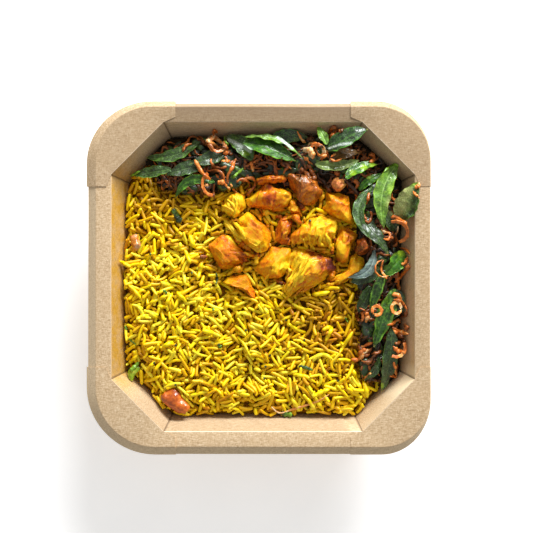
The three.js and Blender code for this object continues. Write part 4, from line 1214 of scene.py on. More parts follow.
def remeshed(node, voxel, rounds):
    """A CAD node's shape as an even mesh."""
    points, triangles = cad(node)
    work = new_object("work", new_mesh(node + "_shape", points, [triangles]))
    remesh = work.modifiers.new("even", "REMESH")
    remesh.mode = "VOXEL"
    remesh.voxel_size = voxel / 1000
    soften = work.modifiers.new("soften", "SMOOTH")
    soften.iterations = rounds
    made = bpy.data.meshes.new_from_object(work.evaluated_get(bpy.context.evaluated_depsgraph_get()))
    bpy.data.objects.remove(work)
    return made, read_points(made) * 1000 - MIDDLE, read_points(made, "normal")


def build_chicken(node, material, seed):
    number = int(node.rsplit("_", 1)[1])
    mesh, points, _ = remeshed(node, VOXELS["chicken"], 3)
    points = cut_flat(points, np.random.default_rng(seed), CUTS)
    for _ in range(2):
        points = drawn_to(points, OUTLINES[number])
    set_points(mesh, points)
    normals = read_points(mesh, "normal")
    run = fibre_space(points, FIBRES.get(number, FIBRE_RUN))
    thin = run * (1 / 6.5, 1.0, 0.8) + 0.5 * noise(points, 3.5, seed + 8)[:, None]
    fibres = noise(thin, 1.3, seed) + 0.5 * noise(thin, 0.7, seed + 1)
    groove = np.exp(-((noise(thin * (1.6, 1, 1), 3.2, seed + 7) / 0.13) ** 2))
    lumps = noise(points, 6.0, seed + 2) + 0.5 * noise(points, 2.6, seed + 3)
    pits = np.minimum(0, noise(points, 1.9, seed + 4) + 0.3) * 2
    fleck = noise(points, 1.0, seed + 5)
    x, y, _ = points.T
    torn = np.max([0 * x] + [in_place(x, y, *place, 0.5) for place in TORN.get(number, [])], axis=0)
    torn *= 0.7 + 0.3 * noise(points, 4.0, seed + 6)
    rough = torn * (0.8 * fibres + 0.6 * pits - 0.8 * groove)
    even = SMOOTHER.get(number, 1) * (1 - torn) * (0.26 * fibres + 0.2 * pits - 0.45 * groove)
    points = points + normals * (0.4 * lumps + rough + even + 0.12 * fleck)[:, None]
    points[:, 2] = np.minimum(points[:, 2], HIGHEST)
    set_points(mesh, points)
    x, y, _ = points.T
    upper = normals[:, 2] > -0.2
    values = {
        "relief": np.clip(rough + 1.2 * even + 0.25 * fleck, -1, 1),
        "warm": WARMTH[number] + 0.12 * lumps - 0.14 * torn,
        "sear": np.max([much * in_place(x, y, at, reach) * upper for at, reach, much in SEAR], axis=0),
        "torn": torn,
        "fibre": run / 1000,
    }
    for at, reach, much in CASTS:
        values["warm"] += much * in_place(x, y, at, reach, 0.8)
    return show(f"{node}_meat", mesh, values, material, [node])


# ---------------------------------------------------------------- leaves

LEAF_STATIONS = 6
RIB_GAP = 2.3


def leaf_frame(node):
    """A CAD leaf's axes and its stations: middle points, and how its two edges lie."""
    points, _ = cad(node)
    middle = points.mean(0)
    axes = np.linalg.svd(points - middle)[2]
    along = (points - middle) @ axes[0]
    order = np.argsort(along)
    first, last = points[order[:6]].mean(0), points[order[-6:]].mean(0)
    axis = unit(last - first)
    length = np.linalg.norm(last - first)
    station = np.round((points - first) @ axis / length * LEAF_STATIONS).astype(int)
    station = np.clip(station, 0, LEAF_STATIONS)
    flat_side = unit(np.cross(axes[2], axis))
    widths = [np.ptp((points[station == k] - middle) @ flat_side) for k in range(LEAF_STATIONS + 1)]
    if sum(widths[:3]) < sum(widths[4:]):
        station, first, axis = LEAF_STATIONS - station, last, -axis
        widths = widths[::-1]
    wide = points[station == int(np.argmax(widths))]
    guess = unit(np.cross(axes[2], axis))
    if np.cross(axis, guess)[2] < 0:
        guess = -guess
    rank = np.argsort(wide @ guess)
    side = unit(wide[rank[-2:]].mean(0) - wide[rank[:2]].mean(0))
    side = unit(side - axis * (side @ axis))
    up = np.cross(axis, side)
    rows = []
    for k in range(LEAF_STATIONS + 1):
        mine = points[station == k] - first
        rank = np.argsort(mine @ side)
        left, centre, right = (mine[rank[a : a + 2]].mean(0) for a in (0, 2, 4))
        edges = [(left - centre) @ up, (right - centre) @ up, (right - left) @ side / 2]
        rows.append([centre @ axis, centre @ side, centre @ up, *edges])
    return first, axis, side, up, np.array(rows)


def build_leaf(node, material, seed):
    first, axis, side, up, rows = leaf_frame(node)
    draw = np.random.default_rng(seed)
    steps, cols = 48, 16
    share = (1 - np.cos(np.linspace(0, math.pi, steps + 1))) / 2
    share = 0.5 * share + 0.5 * np.linspace(0, 1, steps + 1)
    path = along_spline(rows[:, :5], share)
    outline = lambda at: 2.67 * at**0.6 * (1 - at) ** 0.85
    half = np.maximum(0.16, rows[2, 5] / outline(2 / 6) * outline(share))[:, None]
    across = np.linspace(-1, 1, cols + 1)
    out = np.abs(across)
    lean = np.where(across < 0, path[:, 3:4], path[:, 4:5]) * out**1.35
    phase, pitch = draw.uniform(0, 6, 2), draw.uniform(1.4, 2.2)
    length = rows[-1, 0] - rows[0, 0]
    run = share[:, None] * length
    ripple = 0.42 * np.sin(run * pitch / 2.2 + phase[0] + 1.5 * np.sign(across)) * out**3
    slanted = run - out * half * 0.9
    rib = np.exp(-((((slanted / RIB_GAP) % 1) - 0.5) ** 2) / 0.018)
    quilt = 0.13 * np.cos(2 * np.pi * (slanted / RIB_GAP - 0.5)) * (1 - across**2) * out**0.5
    crease = np.exp(-((across * half / 0.42) ** 2))
    body = smooth(half, 0.3, 1.4)
    wide = across * half * (1 + 0.05 * np.sin(share[:, None] * 34 + phase[1] + 2 * np.sign(across)))
    grid = np.stack([wide, run + 0 * wide], -1).reshape(-1, 2)
    crumple = (0.34 * noise(grid, 4.2, seed) + 0.14 * noise(grid, 1.7, seed + 50)).reshape(wide.shape)
    sheet = (
        first
        + axis * path[:, 0, None, None]
        + side * (path[:, 1, None] + wide)[..., None]
        + up * (path[:, 2, None] + lean + body * (ripple + crumple - quilt - 0.22 * crease))[..., None]
    )
    thickness = 0.14 * (1 - 0.6 * out**4) + 0.2 * crease * body
    n, m = wide.shape
    top, low = sheet + up * 0.16, sheet - up * thickness[..., None]
    points = np.concatenate([top.reshape(-1, 3), low.reshape(-1, 3)])
    points[:, 2] = np.minimum(points[:, 2], HIGHEST - 0.3 * (np.arange(len(points)) >= n * m))
    quads = grid_quads(n, m)
    far_side, last_row = np.arange(1, n) * m + m - 1, (n - 1) * m + np.arange(m - 1)[::-1]
    edge = np.concatenate([np.arange(m), far_side, last_row, np.arange(1, n - 1)[::-1] * m])
    following = np.roll(edge, -1)
    wall = np.stack([edge, following, following + n * m, edge + n * m], -1)
    x, y, _ = points.T
    values = {
        "across": np.tile(np.broadcast_to(across, (n, m)).ravel(), 2),
        "along": np.tile(np.repeat(share, m), 2),
        "ribs": np.tile((np.maximum(crease, 0.7 * rib * out**0.3 * (out < 0.9)) * body).ravel(), 2),
        "fresh": np.max([in_place(x, y, *place, 0.6) for place in FRESH], axis=0),
        "olive": np.max([in_place(x, y, *place, 0.6) for place in OLIVE], axis=0),
        "painted_highlight": np.max([smooth(reach - from_line(x, y, a, b), -0.5, 0.5) for a, b, reach in PAINTED_HIGHLIGHTS], axis=0),
    }
    name = f"{node}_blade"
    mesh = new_mesh(name, points, [quads, quads[:, ::-1] + n * m, wall[:, ::-1]])
    return show(name, mesh, values, material, [node])


# ---------------------------------------------------------------- shallots and small pieces

# Fried shallots that lie on top: tone from dark brown 0 to orange 0.8 and pale 1, width, points in plan.
SHALLOTS = [
    (0.55, 1.5, (-43.9, 70.6), (-40.6, 71.9), (-39.6, 74.6), (-37.2, 75.3), (-34.8, 73.6), (-34.2, 72.6)),
    (0.6, 1.8, (-42.6, 66.2), (-41.9, 68.2), (-40.6, 69.9), (-37.9, 70.6)),
    (0.35, 1.6, (-47.3, 68.2), (-45.3, 69.6), (-43.6, 70.6)),
    (0.92, 2.4, (-29.5, 74), (-26.8, 75.3), (-24.4, 73.3), (-20.4, 69.9)),
    (0.88, 2.4, (-29.5, 73.6), (-28.8, 71.3), (-26.4, 70.3), (-22.4, 68.2)),
    (0.6, 1.5, (-26.8, 75.3), (-26.1, 77.7), (-24.4, 76.7)),
    (0.45, 1.8, (-31.1, 72.9), (-30.5, 70.9), (-27.8, 69.2), (-25.8, 65.9)),
    (0.75, 2.4, (-35.9, 61.5), (-34.5, 58.8), (-32.8, 55.8), (-30.5, 53.1), (-27.8, 51.1)),
    (0.45, 1.5, (-27.4, 62.2), (-27.4, 60.1), (-25.1, 58.1), (-20.4, 57.1)),
    (0.45, 1.3, (-29.1, 56.1), (-25.8, 56.8), (-22.4, 55.1), (-21, 51.4)),
    (0.65, 1.4, (-25.1, 54.4), (-23.4, 52.4), (-21, 50)),
    (0.4, 1.2, (-25.8, 49.4), (-26.4, 46.3), (-26.1, 43), (-25.8, 41.3)),
    (0.45, 1.4, (-25.4, 58.5), (-23.4, 57.5), (-20.7, 57.5), (-18, 59.1), (-15.9, 61.5)),
    (0.6, 1.9, (-14.3, 62.5), (-15.6, 60.1), (-16.3, 57.5), (-18.6, 53.4), (-19, 50.4)),
    (0.5, 1.4, (-24.7, 55.8), (-22, 55.1), (-20.7, 52.4), (-21, 49.7), (-24, 49)),
    (0.75, 2.5, (-24, 49.7), (-22.3, 50), (-20.3, 49.7)),
    (0.8, 1.2, (-20.3, 49.4), (-19, 47.7), (-17.3, 46)),
    (0.8, 1.2, (-18.6, 49.7), (-16.6, 48), (-15.3, 45.7), (-13.9, 44.7)),
    (0.85, 2.2, (-22.3, 61.5), (-20.3, 60.8), (-17.6, 61.5)),
    (0.5, 2.8, (-21, 65.2), (-18.6, 65.9), (-16.3, 64.9)),
    (0.5, 1.5, (-9.9, 58.1), (-7.9, 59.1), (-6.5, 60.1), (-4.5, 60.8)),
    (0.8, 1.8, (-6.5, 60.8), (-5.8, 58.1), (-5.2, 55.8)),
    (0.45, 1.4, (-5.2, 60.1), (-3.1, 61.8), (-1.1, 62.5)),
    (0.4, 1.4, (-3.8, 60.1), (-1.1, 60.1), (1.6, 58.8), (2.2, 58.1)),
    (0.35, 1.4, (-2.5, 58.1), (-1.8, 60.1), (0.9, 60.8), (4.3, 60.1), (6.3, 58.5), (6, 56.8)),
    (
        0.65, 1.6, (-10.6, 52.1), (-7.9, 52.4), (-5.2, 52.1), (-4.2, 49.7), (-5.2, 47.3), (-7.9, 44.3),
        (-9.5, 43.3),
    ),
    (0.6, 1.5, (-13.6, 50), (-11.9, 51.7), (-9.2, 51.4), (-7.2, 49.7), (-7.5, 47.7), (-8.9, 46.3)),
    (0.3, 1.5, (10, 62.8), (9.7, 60.1), (11.7, 58.5), (13.4, 57.5)),
    (0.85, 1.6, (18.1, 77), (19.4, 74.6), (20.8, 72.6), (22.8, 71.3)),
    (0.45, 2.2, (23.1, 59.5), (25.5, 56.8), (26.5, 53.7)),
    (0.25, 2.8, (23.5, 73.3), (26.2, 73.3), (27.2, 71.9)),
    (0.4, 2, (-22, 68.9), (-20, 68.2), (-18.6, 67.2)),
    (0.75, 1.6, (23.9, 69.7), (25.3, 70.9), (27.3, 70.3), (27.9, 68.3), (27.3, 66.6), (24.9, 67)),
    (0.95, 3.2, (21.2, 66.3), (23.2, 67), (25.6, 65), (25.9, 62.3)),
    (0.75, 2.2, (21.5, 63.6), (24.2, 60.9), (27.3, 60.2)),
    (0.8, 1.5, (27.9, 67), (29, 64.6), (30.6, 63.3), (32.7, 63.9), (33.7, 65)),
    (0.75, 1.4, (27.9, 61.9), (30.3, 61.9), (32.3, 62.9), (33.3, 63.6)),
    (0.8, 1.5, (33.7, 67), (34, 65), (34.7, 62.9)),
    (0.75, 1.4, (35.4, 61.9), (37.7, 60.6), (40.1, 61.2), (41.1, 61.9)),
    (0.75, 1.2, (35.7, 62.9), (37, 63.9), (38.4, 64.6)),
    (0.45, 2, (34, 75.1), (35.4, 77.1), (37.4, 78.8), (39.4, 77.4), (41.1, 78.1)),
    (0.6, 2.2, (34.7, 73.7), (37, 75.1), (38.4, 77.1)),
    (0.4, 2, (39.7, 76.1), (41.1, 76.7), (41.8, 77.8)),
    (0.3, 1.6, (28.3, 68.3), (30.3, 68.3), (31.3, 67.3)),
    (0.25, 2, (49.8, 67), (52.5, 66.3), (53.5, 68), (54.9, 67)),
    (0.7, 2, (56.6, 65), (58.6, 65), (59.3, 63.3), (57.6, 61.2), (55.9, 60.9)),
    (0.5, 2, (53.2, 64.3), (55.2, 62.9), (56.9, 63.6)),
    (0.35, 2, (51.9, 62.3), (53.5, 62.9), (53.9, 65)),
    (0.45, 2.4, (24.6, 56.9), (26.3, 54.8), (27.3, 52.8), (26.3, 51.5)),
    (0.4, 2.6, (19.5, 56.9), (22.2, 55.5), (24.2, 52.8)),
    (0.5, 2.8, (37.7, 55.5), (39.7, 54.8), (39.4, 53.5)),
    (0.6, 1.8, (55.6, 44.1), (55.2, 41.4), (54.6, 38.3)),
    (0.6, 1.4, (53.8, 33.7), (53.4, 32.5), (54.6, 29.7)),
    (0.5, 1.8, (56.7, 34.5), (57.5, 32.9), (56.7, 30.1), (55.4, 28.5), (53.8, 29.7)),
    (0.8, 1.8, (62.5, 25.2), (64.3, 23.6), (66.8, 23.2), (67.2, 21.6), (66, 19.6), (63.5, 20)),
    (0.65, 2, (67.6, 31.3), (69.6, 31.7), (71.6, 30.5), (74, 28.1), (74.8, 26)),
    (1, 1, (71.6, 26.8), (71.4, 22.4)),
    (0.75, 1.6, (64.7, 9.9), (63.1, 7), (62.7, 3), (64.7, -1)),
    (0.75, 1.8, (76.5, 10.3), (75.3, 7.4), (73.2, 6.6)),
    (0.6, 2.4, (76.5, 7), (76.1, 3.8), (73.6, 0.2), (70.4, -3.1)),
    (0.55, 1.5, (72, 2.6), (71.2, -0.2), (68.8, 0.6)),
    (0.6, 1.4, (73.6, 15.5), (76.1, 14.3), (77.3, 11.9)),
    (0.8, 2.2, (81.7, 49.1), (80.5, 47.1), (78.9, 46.2)),
    (0.75, 1.4, (78.1, 44.6), (79.3, 42.6), (81.7, 41)),
    (0.7, 1.6, (67.6, 20.8), (68.8, 20.4)),
    (0.55, 2, (49.9, -19.1), (50.8, -22), (51.6, -24)),
    (0.6, 1.8, (52.8, -19.1), (53.2, -22), (52.4, -24)),
    (0.8, 2.6, (54.8, -19.1), (55.6, -21.2), (54.8, -24.4)),
    (0.6, 1, (51.2, -16.7), (53.2, -17.5), (54.8, -18.7)),
    (0.8, 2.6, (68.5, -9.8), (71, -9.4), (72.6, -11.5), (71.8, -12.7)),
    (0.6, 2, (68.9, -12.3), (71.4, -12.7), (74.2, -13.9), (76.2, -17.1)),
    (0.4, 2, (76.2, -17.9), (75.4, -20.7), (73, -21.2)),
    (0.7, 1.8, (65.7, -25.6), (68.9, -24.8), (72.2, -23.2), (73.8, -24.8)),
    (0.75, 2.6, (68.9, -26.8), (71.8, -29.2), (74.6, -29.8), (76.4, -30.2)),
    (0.55, 2.4, (68.9, -28), (71.4, -30.9), (75, -32.5)),
    (0.7, 2.4, (68.9, -36.9), (71.4, -39.3), (74.6, -40.2)),
    (0.3, 2.8, (69.8, -35.3), (73, -35.3), (75.4, -34.1)),
    (0.75, 1.5, (69.4, -45.4), (69.8, -47.4), (70.6, -48.8), (71.2, -51.6), (71.8, -53.8)),
    (0.75, 2.4, (47.1, -44.2), (50.4, -44.6), (52.4, -43), (53.6, -40.6), (56.8, -38.9)),
    (0.6, 2.2, (50.8, -42.2), (52.8, -39.7), (54.8, -38.5)),
    (0.35, 2.2, (52.4, -45), (56.4, -45.8), (58.8, -43), (61.7, -40.6)),
    (0.4, 2, (58, -41.4), (60.9, -40.6), (63.3, -39.7)),
    (0.7, 1.4, (67.7, -53.1), (70, -53.7), (71.4, -54.4)),
    (0.95, 1.2, (56.4, -51.9), (57.4, -51.3)),
    (0.4, 2.2, (75, -25.6), (76.2, -26.8), (75.8, -28.4)),
    (0.95, 1, (4.5, -70), (9, -73.5), (17, -71), (28.5, -67), (35, -63)),
    (0.45, 2.6, (-33.5, 11), (-32, 10.4), (-30, 10.8)),
]
# Strands of chicken torn from their pieces, in the same way: warmth, width, points.
MEAT_STRANDS = [
    (0.05, 2.4, (-21, 30.3), (-17.5, 27), (-13, 22), (-9, 20)),
    (0.1, 2, (-16, 29), (-12, 25), (-9.5, 20.5)), (0, 1.6, (-20.5, 28.5), (-16, 24), (-12, 20)),
    (0.1, 1.8, (24.5, 19), (25.5, 16.5), (27.5, 14.5)), (0.05, 2.2, (33, 22), (35, 18), (36, 14.5)),
    (0.1, 1.8, (30, 22), (30, 18), (32, 16)), (0.15, 1.6, (21, 20), (22.5, 17), (24, 15.5)),
    (0.2, 2, (15, -3), (12, -7), (9.5, -10)), (0.3, 1.8, (17, -5), (14.5, -9), (12.5, -12)),
    (0.1, 1.4, (20, 8), (16, 2), (12, -5)), (0.1, 1.4, (22, 6), (18, 0), (15, -6)),
    (0.15, 1.3, (24, 10), (20, 4), (17, -1)), (0.2, 1.6, (-22, 38), (-18, 36), (-14, 33)),
    (0.1, 1.4, (-19, 41), (-16, 38), (-14, 34)), (0.1, 1.4, (-15, 42), (-14, 38), (-15, 33)),
    (0.35, 1.6, (-10, 13), (-7, 11.5), (-3.5, 11)), (0.4, 1.6, (-8, 10), (-5, 10), (-2.5, 12)),
    (0.3, 1.8, (40, -2), (37, -4), (33.5, -4)), (0.5, 1.5, (10, 30), (13, 31), (16, 33)),
    (0.2, 1.4, (3, 1), (1, -2), (2.5, -4)),
]
# Bits of leaf on the rice: tone from dark to green, width, points in plan.
BITS = [
    (0.1, 4, (-48, 36), (-46, 32), (-44, 29)), (0.9, 1.8, (-17, 51), (-14, 54.5), (-10.5, 57.5)),
    (0.2, 1.2, (-25, 2), (-24.6, -1), (-25, -4)), (0.5, 1.6, (-53, -7), (-51, -9)),
    (0.7, 1, (-71.5, -33), (-70.5, -34.5), (-68, -36.5)), (0.7, 1.6, (-74, -26.5), (-73, -28.5)),
    (0.5, 1.5, (-27.5, -16.5), (-26, -17.8)), (0.1, 1.8, (19, -48), (22.5, -48.6), (26.5, -50)),
    (0.4, 3.2, (9.5, -73.5), (12.5, -74), (15.5, -74.5)), (0.2, 2.2, (-24, -36), (-22.5, -38)),
    (0.6, 1.2, (44, -22), (45.5, -24.5)),
]
# Long bright grains that lie on top of the rice: how pale, width, points in plan.
LONG_GRAINS = [
    (0.95, 2.3, (-57.7, 8.6), (-54.1, 10.6), (-50, 12.4)),
    (0.9, 1.9, (-44.3, 18.2), (-44.1, 16), (-44, 13.8)),
    (0.75, 2.2, (-41.9, 14.3), (-40.3, 11), (-38.6, 7.1)),
    (0.8, 2.5, (-39.1, 22.2), (-38.1, 18.9), (-36.4, 15.1)),
    (0.75, 2, (-60.4, -14), (-55.7, -12.1), (-51, -10)),
    (0.95, 2.1, (-54.9, -2.8), (-51.2, -4.2), (-46.2, -4.8)),
    (0.7, 2.1, (-48.4, -8.5), (-50, -11.8), (-51.8, -15.4)),
    (0.8, 2.3, (-46.2, -8), (-43.8, -10.4), (-40.8, -13.8)),
    (1, 2.5, (-40.6, -11.6), (-36, -12.2), (-31.7, -11.5), (-28.1, -9.1)),
    (0.85, 2.1, (-33, -7.2), (-28.3, -6.4), (-23.5, -5.6)),
    (1, 2, (-30.8, -20.8), (-27.9, -22.3), (-24.5, -25.2), (-21.1, -29.1)),
    (0.85, 2.7, (-32.1, -28.6), (-27.9, -29.7), (-22.6, -31.9)),
    (0.9, 2.1, (-37.4, -34.7), (-33.3, -32.8), (-28.3, -31.8)),
    (0.85, 2.5, (-53.6, -37.2), (-49.3, -35.4), (-44.8, -32.9)),
    (0.95, 2.2, (-67.4, -22.8), (-65, -21.6), (-62.1, -20.3)),
    (1, 2.4, (-60.2, -19), (-58.4, -20.4), (-56.4, -21.9)),
    (0.9, 2.2, (-56.9, -1.3), (-55, 1.3), (-53, 4)),
    (0.8, 2.4, (-66.6, 4.8), (-63.8, 7.7), (-60.8, 10.8)),
    (0.85, 2.1, (-76, 8.2), (-73.4, 6.5), (-70.7, 5.2)),
    (0.6, 2.2, (-71.3, -4.7), (-67.9, -8), (-64.9, -11.9)),
    (0.75, 2.1, (-34.9, -1.8), (-33.8, 2.5), (-32.5, 7.2)),
    (0.8, 2.2, (-56.5, -15.7), (-53.8, -16), (-51.2, -16)),
    (0.95, 2, (-33.5, -17), (-33, -19.5), (-32.1, -21.9)),
    (0.95, 2, (-14.8, -21.6), (-13.1, -19.9), (-10.7, -19.5), (-7.4, -20.7)),
    (0.5, 2.4, (-19.8, -17.3), (-19, -13.3), (-18.1, -8.7)),
    (0.75, 2.4, (26, -9.5), (30.6, -9.2), (35.3, -8.1)),
    (0.8, 1.9, (15.6, -14.3), (18.7, -16.4), (22.3, -17.4), (26.1, -17.7)),
    (1, 2.4, (26.6, -45.5), (28.8, -42.8), (32.8, -41.8), (36.7, -44)),
    (0.85, 2.2, (16.2, -52.6), (19.9, -52.9), (23.6, -53.8), (28, -56.7)),
    (0.7, 2.3, (31.7, -28.5), (34.3, -27.4), (37.2, -26.6)),
    (0.7, 2.3, (33.5, -34.5), (35.2, -30.8), (37.2, -27)),
    (0.75, 2.2, (40.9, -40.6), (44.4, -35.1), (47.8, -29.6)),
    (0.7, 2.4, (48.2, -49.9), (49.9, -54.7), (52.5, -59.6)),
    (0.65, 2.4, (53.6, -55), (54.9, -60), (56, -65)),
    (0.8, 2.4, (45, -59.6), (48.7, -62.1), (52.5, -65.1)),
    (0.8, 2.3, (26.9, -64), (30.9, -61.9), (35.3, -60.2)),
    (0.6, 2.4, (42.9, -70.3), (46.2, -69.7), (49.8, -69.3)),
    (0.9, 2.3, (23.6, -65), (26, -68.6), (28.4, -72.4)),
    (0.95, 2.3, (14.7, -64.2), (17.2, -68.2), (19.7, -72.4)),
    (0.6, 2.2, (38.9, -72.8), (42.3, -72.6), (46.2, -72.2)),
    (0.85, 2.3, (28, -64.6), (30, -68.4), (32.4, -72.2)),
    (0.9, 2.3, (-73.6, -47.6), (-70.4, -45), (-67, -42)),
]
# Fresh stems of leaves, in the same way.
STEMS = [
    (1, 1.5, (63.6, 55.2), (66.3, 57.6), (69.8, 59.4), (71.4, 58.2)),
    (1, 1.2, (-20.9, 75), (-20, 71.5), (-18.3, 70)),
    (1, 1.2, (-71.6, 54.2), (-68.8, 54.6), (-65.8, 56.2)),
    (1, 2.2, (-71.4, -50.6), (-69.4, -48.8), (-66.8, -46)),
]
# Dark seeds and specks.
SPECKS = [
    (-46.4, -36.4), (-46.7, -57.7), (-33.7, -20.1), (12.2, -23.2), (-9.2, -28.6), (3.7, -42.2), (0.7, -54.5),
    (1.3, -48.1), (40, -55.9), (24.7, 29.6), (-60, 12), (-38, 2), (-58, -46), (22, -34),
]
SPECK_SIZE = 1.5
# How each small piece is coloured: dark, middle and light.
SMALL_LOOKS = {
    "tomato": ((120, 46, 6), (190, 88, 10), (222, 124, 20)),
    "onion_bit": ((150, 84, 20), (206, 130, 40), (212, 168, 134)),
    "green_chilli": ((104, 146, 6), (150, 182, 18), (196, 212, 70)),
}
SMALL_OUTLINES = {
    "onion_bit": (
        (-70.6, 22.1), (-67.5, 22.5), (-66, 19.2), (-65.2, 16.2),
        (-67.5, 13.2), (-69.3, 13.5), (-70.6, 17.3),
    ),
    "tomato": (
        (-55.4, -64.5), (-50.5, -59.8), (-47.1, -59.6), (-43.7, -63.9), (-38.4, -70.1), (-41.8, -73.8),
        (-46.2, -72.9), (-53, -68.2),
    ),
}
BED_DROP = 2.0  # the bed's core lies this far below its tops
FLOOR_REACH, FLOOR_GAP = 4000, 0.2
# The lamp, in metres.
WINDOW = {
    "at": (0.44, 1.24, 0.62),
    "aim": (0, 0, 0.02),
    "size": (0.9, 0.5),
    "power": 44.0,
    "colour": (0.97, 0.985, 1.0),
}


def rounded(points):
    """A closed ring with the corners between its straight runs taken out. Other shapes stay as they are."""
    count = 24
    away = points[:, :2] - points[:, :2].mean(0)
    turn, reach, sector = sectors(away, count)
    filled = np.bincount(sector, minlength=count)
    if filled.min() == 0 or reach.min() < 0.6:
        return points
    found = np.bincount(sector, reach, minlength=count) / filled
    waves = np.fft.rfft(found)
    waves[3:] = 0
    moved = points.copy()
    moved[:, :2] += away * (by_turn(turn, np.fft.irfft(waves, count) / found) - 1)[:, None]
    return moved


def build_curl(node, material, seed):
    mesh, points, normals = remeshed(node, VOXELS["curl"], 4)
    for _ in range(2):
        points = rounded(points)
    move = 0.16 * noise(points, 1.6, seed) + 0.08 * noise(points, 0.7, seed + 1) - 0.2
    points = points + normals * move[:, None]
    points[:, 2] = np.minimum(points[:, 2], HIGHEST)
    set_points(mesh, points)
    tone = np.random.default_rng(seed).uniform(0.64, 0.88)
    tint = tone + 0.22 * noise(points, 3.5, seed + 2) + 0.1 * noise(points, 1.2, seed + 3)
    return show(f"{node}_strip", mesh, {"tint": tint}, material, [node])


def build_small(node, colours, seed):
    look = {"coat": (0.6, 0.12), "subsurface": 0.25, "radius": (1.4, 0.6, 0.2)}
    stops = zip((0.32, 0.5, 0.7), colours)
    material = mottled_material(node, 0.35, (3.0, 4, 0.6), stops, ((0.9, 3, 0.6), 0.2, 0.5), **look)
    mesh, points, normals = remeshed(node, VOXELS["small"], 3)
    if node in SMALL_OUTLINES:
        points = drawn_to(points, SMALL_OUTLINES[node])
    move = 0.3 * noise(points, 3.0, seed) + 0.15 * noise(points, 1.2, seed + 1)
    set_points(mesh, points + normals * move[:, None])
    return show(f"{node}_piece", mesh, {}, material, [node])


def build_bed():
    """The core below the fried shallots, lower than their tops. Gives the tops' heights, and the core."""
    mesh, points, normals = remeshed("fried_shallots", VOXELS["bed"], 1)
    tops = Heights(0.0)
    tops.raise_to(spread(*cad("fried_shallots")))
    move = normals[:, 2] > 0.2
    points[:, 2] -= move * (BED_DROP + 0.5 * noise(points, 4.0, 71))
    points[:, :2] -= normals[:, :2] * 0.8
    set_points(mesh, points)
    # Near-black core: painted shade for the gaps in the tangle above it.
    stops = [(0.35, (16, 15, 8)), (0.75, (60, 44, 18))]
    relief = ((1.4, 3, 0.6), 1.0, 0.8)
    below = mottled_material("shallots_below", 0.6, (2.0, 4, 0.65), stops, relief, specular=0.2)
    return tops, show("fried_shallots_core", mesh, {}, below, ["fried_shallots"])


def build_strands(shallot, meat, rice, bed, core, rice_heap, near, underside, topside):
    """The tangle of the shallot bed, the shreds beside the chicken, and all that is placed by the photo."""
    draw = np.random.default_rng(SEEDS["strands"])
    slot, bed_node = SLOTS["fried_shallots"], "fried_shallots"
    scraps = scrap_material()
    heap = Heights(0.0)
    heap.raise_to(spread(*read_mesh(core.data)))
    has_bed = bed.z > BED_FOUND
    allowed = Heights(has_bed & (blurred(has_bed.astype(float), 2) > 0.9))
    strands = scattered(LEAF_SCRAPS, draw, heap, underside, allowed, bed)
    tones = np.zeros(len(strands[0]))
    show_strands("leaf_scraps", strands, tones, scraps, "leaf_dark", bed_node, 9, flat=0.06, turning=0.2)
    strands = scattered(SHALLOT_SHREDS, draw, heap, underside, allowed, bed)
    tones = np.clip(draw.normal(0.33, 0.2, len(strands[0])), 0, 0.85)
    show_strands("shallots_below", strands, tones, shallot, slot, bed_node, 5)

    pile = Heights((near.z > 0.42) & (bed.z < BED_FOUND))
    floor = Heights(rice_heap.z)
    strands = scattered(CHICKEN_SHREDS, draw, floor, underside, pile, floor)
    tones = np.clip(draw.normal(0.56, 0.2, len(strands[0])), 0.1, 0.95)
    show_strands("chicken_shreds", strands, tones, meat, "chicken_orange", "rice", 6)

    over = Heights(np.maximum.reduce([topside.z, heap.z, floor.z]))
    half = SPECK_SIZE / 3
    bits = BITS + [(0, SPECK_SIZE, (x - half, y), (x + half, y)) for x, y in SPECKS]
    bit_look, grain_look = {"flat": 0.2, "turning": 0.4}, {"flat": 0.44, "turning": 0, "waves": 0.05}
    for name, table, rise, material, its_slot, node, seed, look in (
        ("chicken_strands", MEAT_STRANDS, 0.25, meat, "chicken_yellow", "chicken_15", 7, {}),
        ("leaf_bits", bits, 0.12, scraps, "leaf_dark", "rice", 10, bit_look),
        ("rice_on_top", LONG_GRAINS, 0.1, rice, "rice", "rice", 12, grain_look),
        ("leaf_stems", STEMS, 0.2, scraps, "leaf_lime", "leaf_29_lime", 11, {"turning": 0.4}),
        ("shallots_on_top", SHALLOTS, 0.3, shallot, slot, bed_node, 8, {}),
    ):
        tones = [row[0] for row in table]
        show_strands(name, laid(table, over, rise), tones, material, its_slot, node, seed, **look)


# ---------------------------------------------------------------- light, camera and floor


def build_camera():
    camera = bpy.data.cameras.new("camera")
    camera.sensor_width = 36.0
    camera.lens = camera.sensor_width * VIEW["distance"] / VIEW["across"]
    camera.clip_start, camera.clip_end = 0.01, 20.0
    eye = new_object("camera", camera)
    eye.location = [c / 1000 for c in VIEW["at"]]
    bpy.context.scene.camera = eye


def build_floor():
    row = 13
    line = np.linspace(-FLOOR_REACH, FLOOR_REACH, row)
    x, y = np.meshgrid(line, line, indexing="ij")
    points = at_height(np.column_stack([x.ravel(), y.ravel()]), -FLOOR_GAP)
    mesh = new_mesh("floor", points, [grid_quads(row, row)])
    mesh.materials.append(floor_material())
    new_object("floor", mesh)


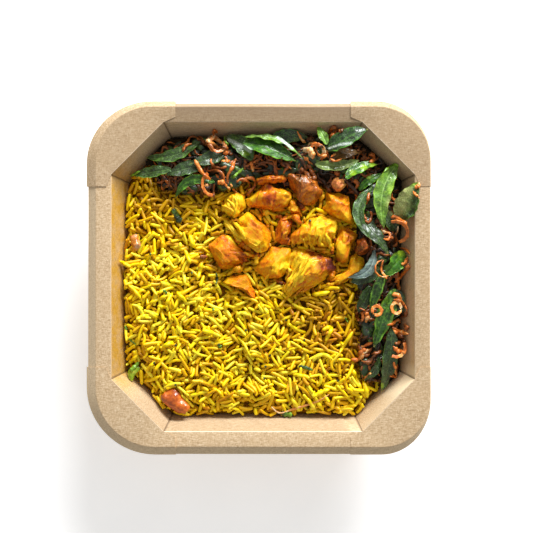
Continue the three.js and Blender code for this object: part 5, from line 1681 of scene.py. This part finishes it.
def build_lights():
    world = bpy.data.worlds.new("studio")
    bpy.context.scene.world = world
    world.use_nodes = True
    background = world.node_tree.nodes["Background"]
    background.inputs["Color"].default_value = (1.0, 0.985, 0.96, 1)
    background.inputs["Strength"].default_value = 0.42

    window = bpy.data.lights.new("window", "AREA")
    window.shape = "RECTANGLE"
    window.size, window.size_y = WINDOW["size"]
    window.energy, window.color = WINDOW["power"], WINDOW["colour"]
    holder = new_object("window", window)
    holder.location = WINDOW["at"]
    x, y, z = np.subtract(WINDOW["aim"], WINDOW["at"])
    holder.rotation_euler = (math.atan2(math.hypot(x, y), -z), 0, math.atan2(-x, y))


# ---------------------------------------------------------------- the scene

build_camera()
build_floor()
build_lights()
bpy.context.scene.view_settings.view_transform = "Standard"
build_tray(board_material())

underside, topside, meat = Heights(NOTHING_ABOVE), Heights(0.0), Heights(0.0)


def note(piece):
    """Keeps where a topping is, for what lies below and above it."""
    dots = spread(*read_mesh(piece.data))
    underside.lower_to(dots)
    topside.raise_to(dots)
    return dots


def nodes_of(kind):
    return enumerate(sorted(node for node in NODES if node.startswith(kind)))


chicken_looks = {look: chicken_material(look) for look in CHICKEN_LOOKS}
for k, node in nodes_of("chicken"):
    look = SLOTS[node].split("_")[1]
    meat.raise_to(note(build_chicken(node, chicken_looks[look], SEEDS["chicken"] + 10 * k)))

leaf_looks = {look: leaf_material(look) for look in LEAF_LOOKS}
for k, node in nodes_of("leaf"):
    look = "rimmed" if node in RIMMED else node.rsplit("_", 1)[1]
    note(build_leaf(node, leaf_looks[look], SEEDS["leaf"] + k))

shallot = shallot_material()
for k, node in nodes_of("shallot_curl"):
    note(build_curl(node, shallot, SEEDS["curl"] + k))
for k, (node, colours) in enumerate(SMALL_LOOKS.items()):
    note(build_small(node, colours, SEEDS["small"] + k))

bed, core = build_bed()
has_bed = bed.z > BED_FOUND
covered = Heights(blurred(((underside.z < NOTHING_ABOVE - 1) | has_bed).astype(float), 9))
ceiling = Heights(np.minimum(underside.z, np.where(has_bed, bed.z - 1.5, NOTHING_ABOVE)))
near = Heights(blurred((meat.z > 0).astype(float), 14))
rice = rice_material()
rice_heap = build_rice(rice, covered, ceiling, near)
build_strands(shallot, chicken_looks["orange"], rice, bed, core, rice_heap, near, underside, topside)
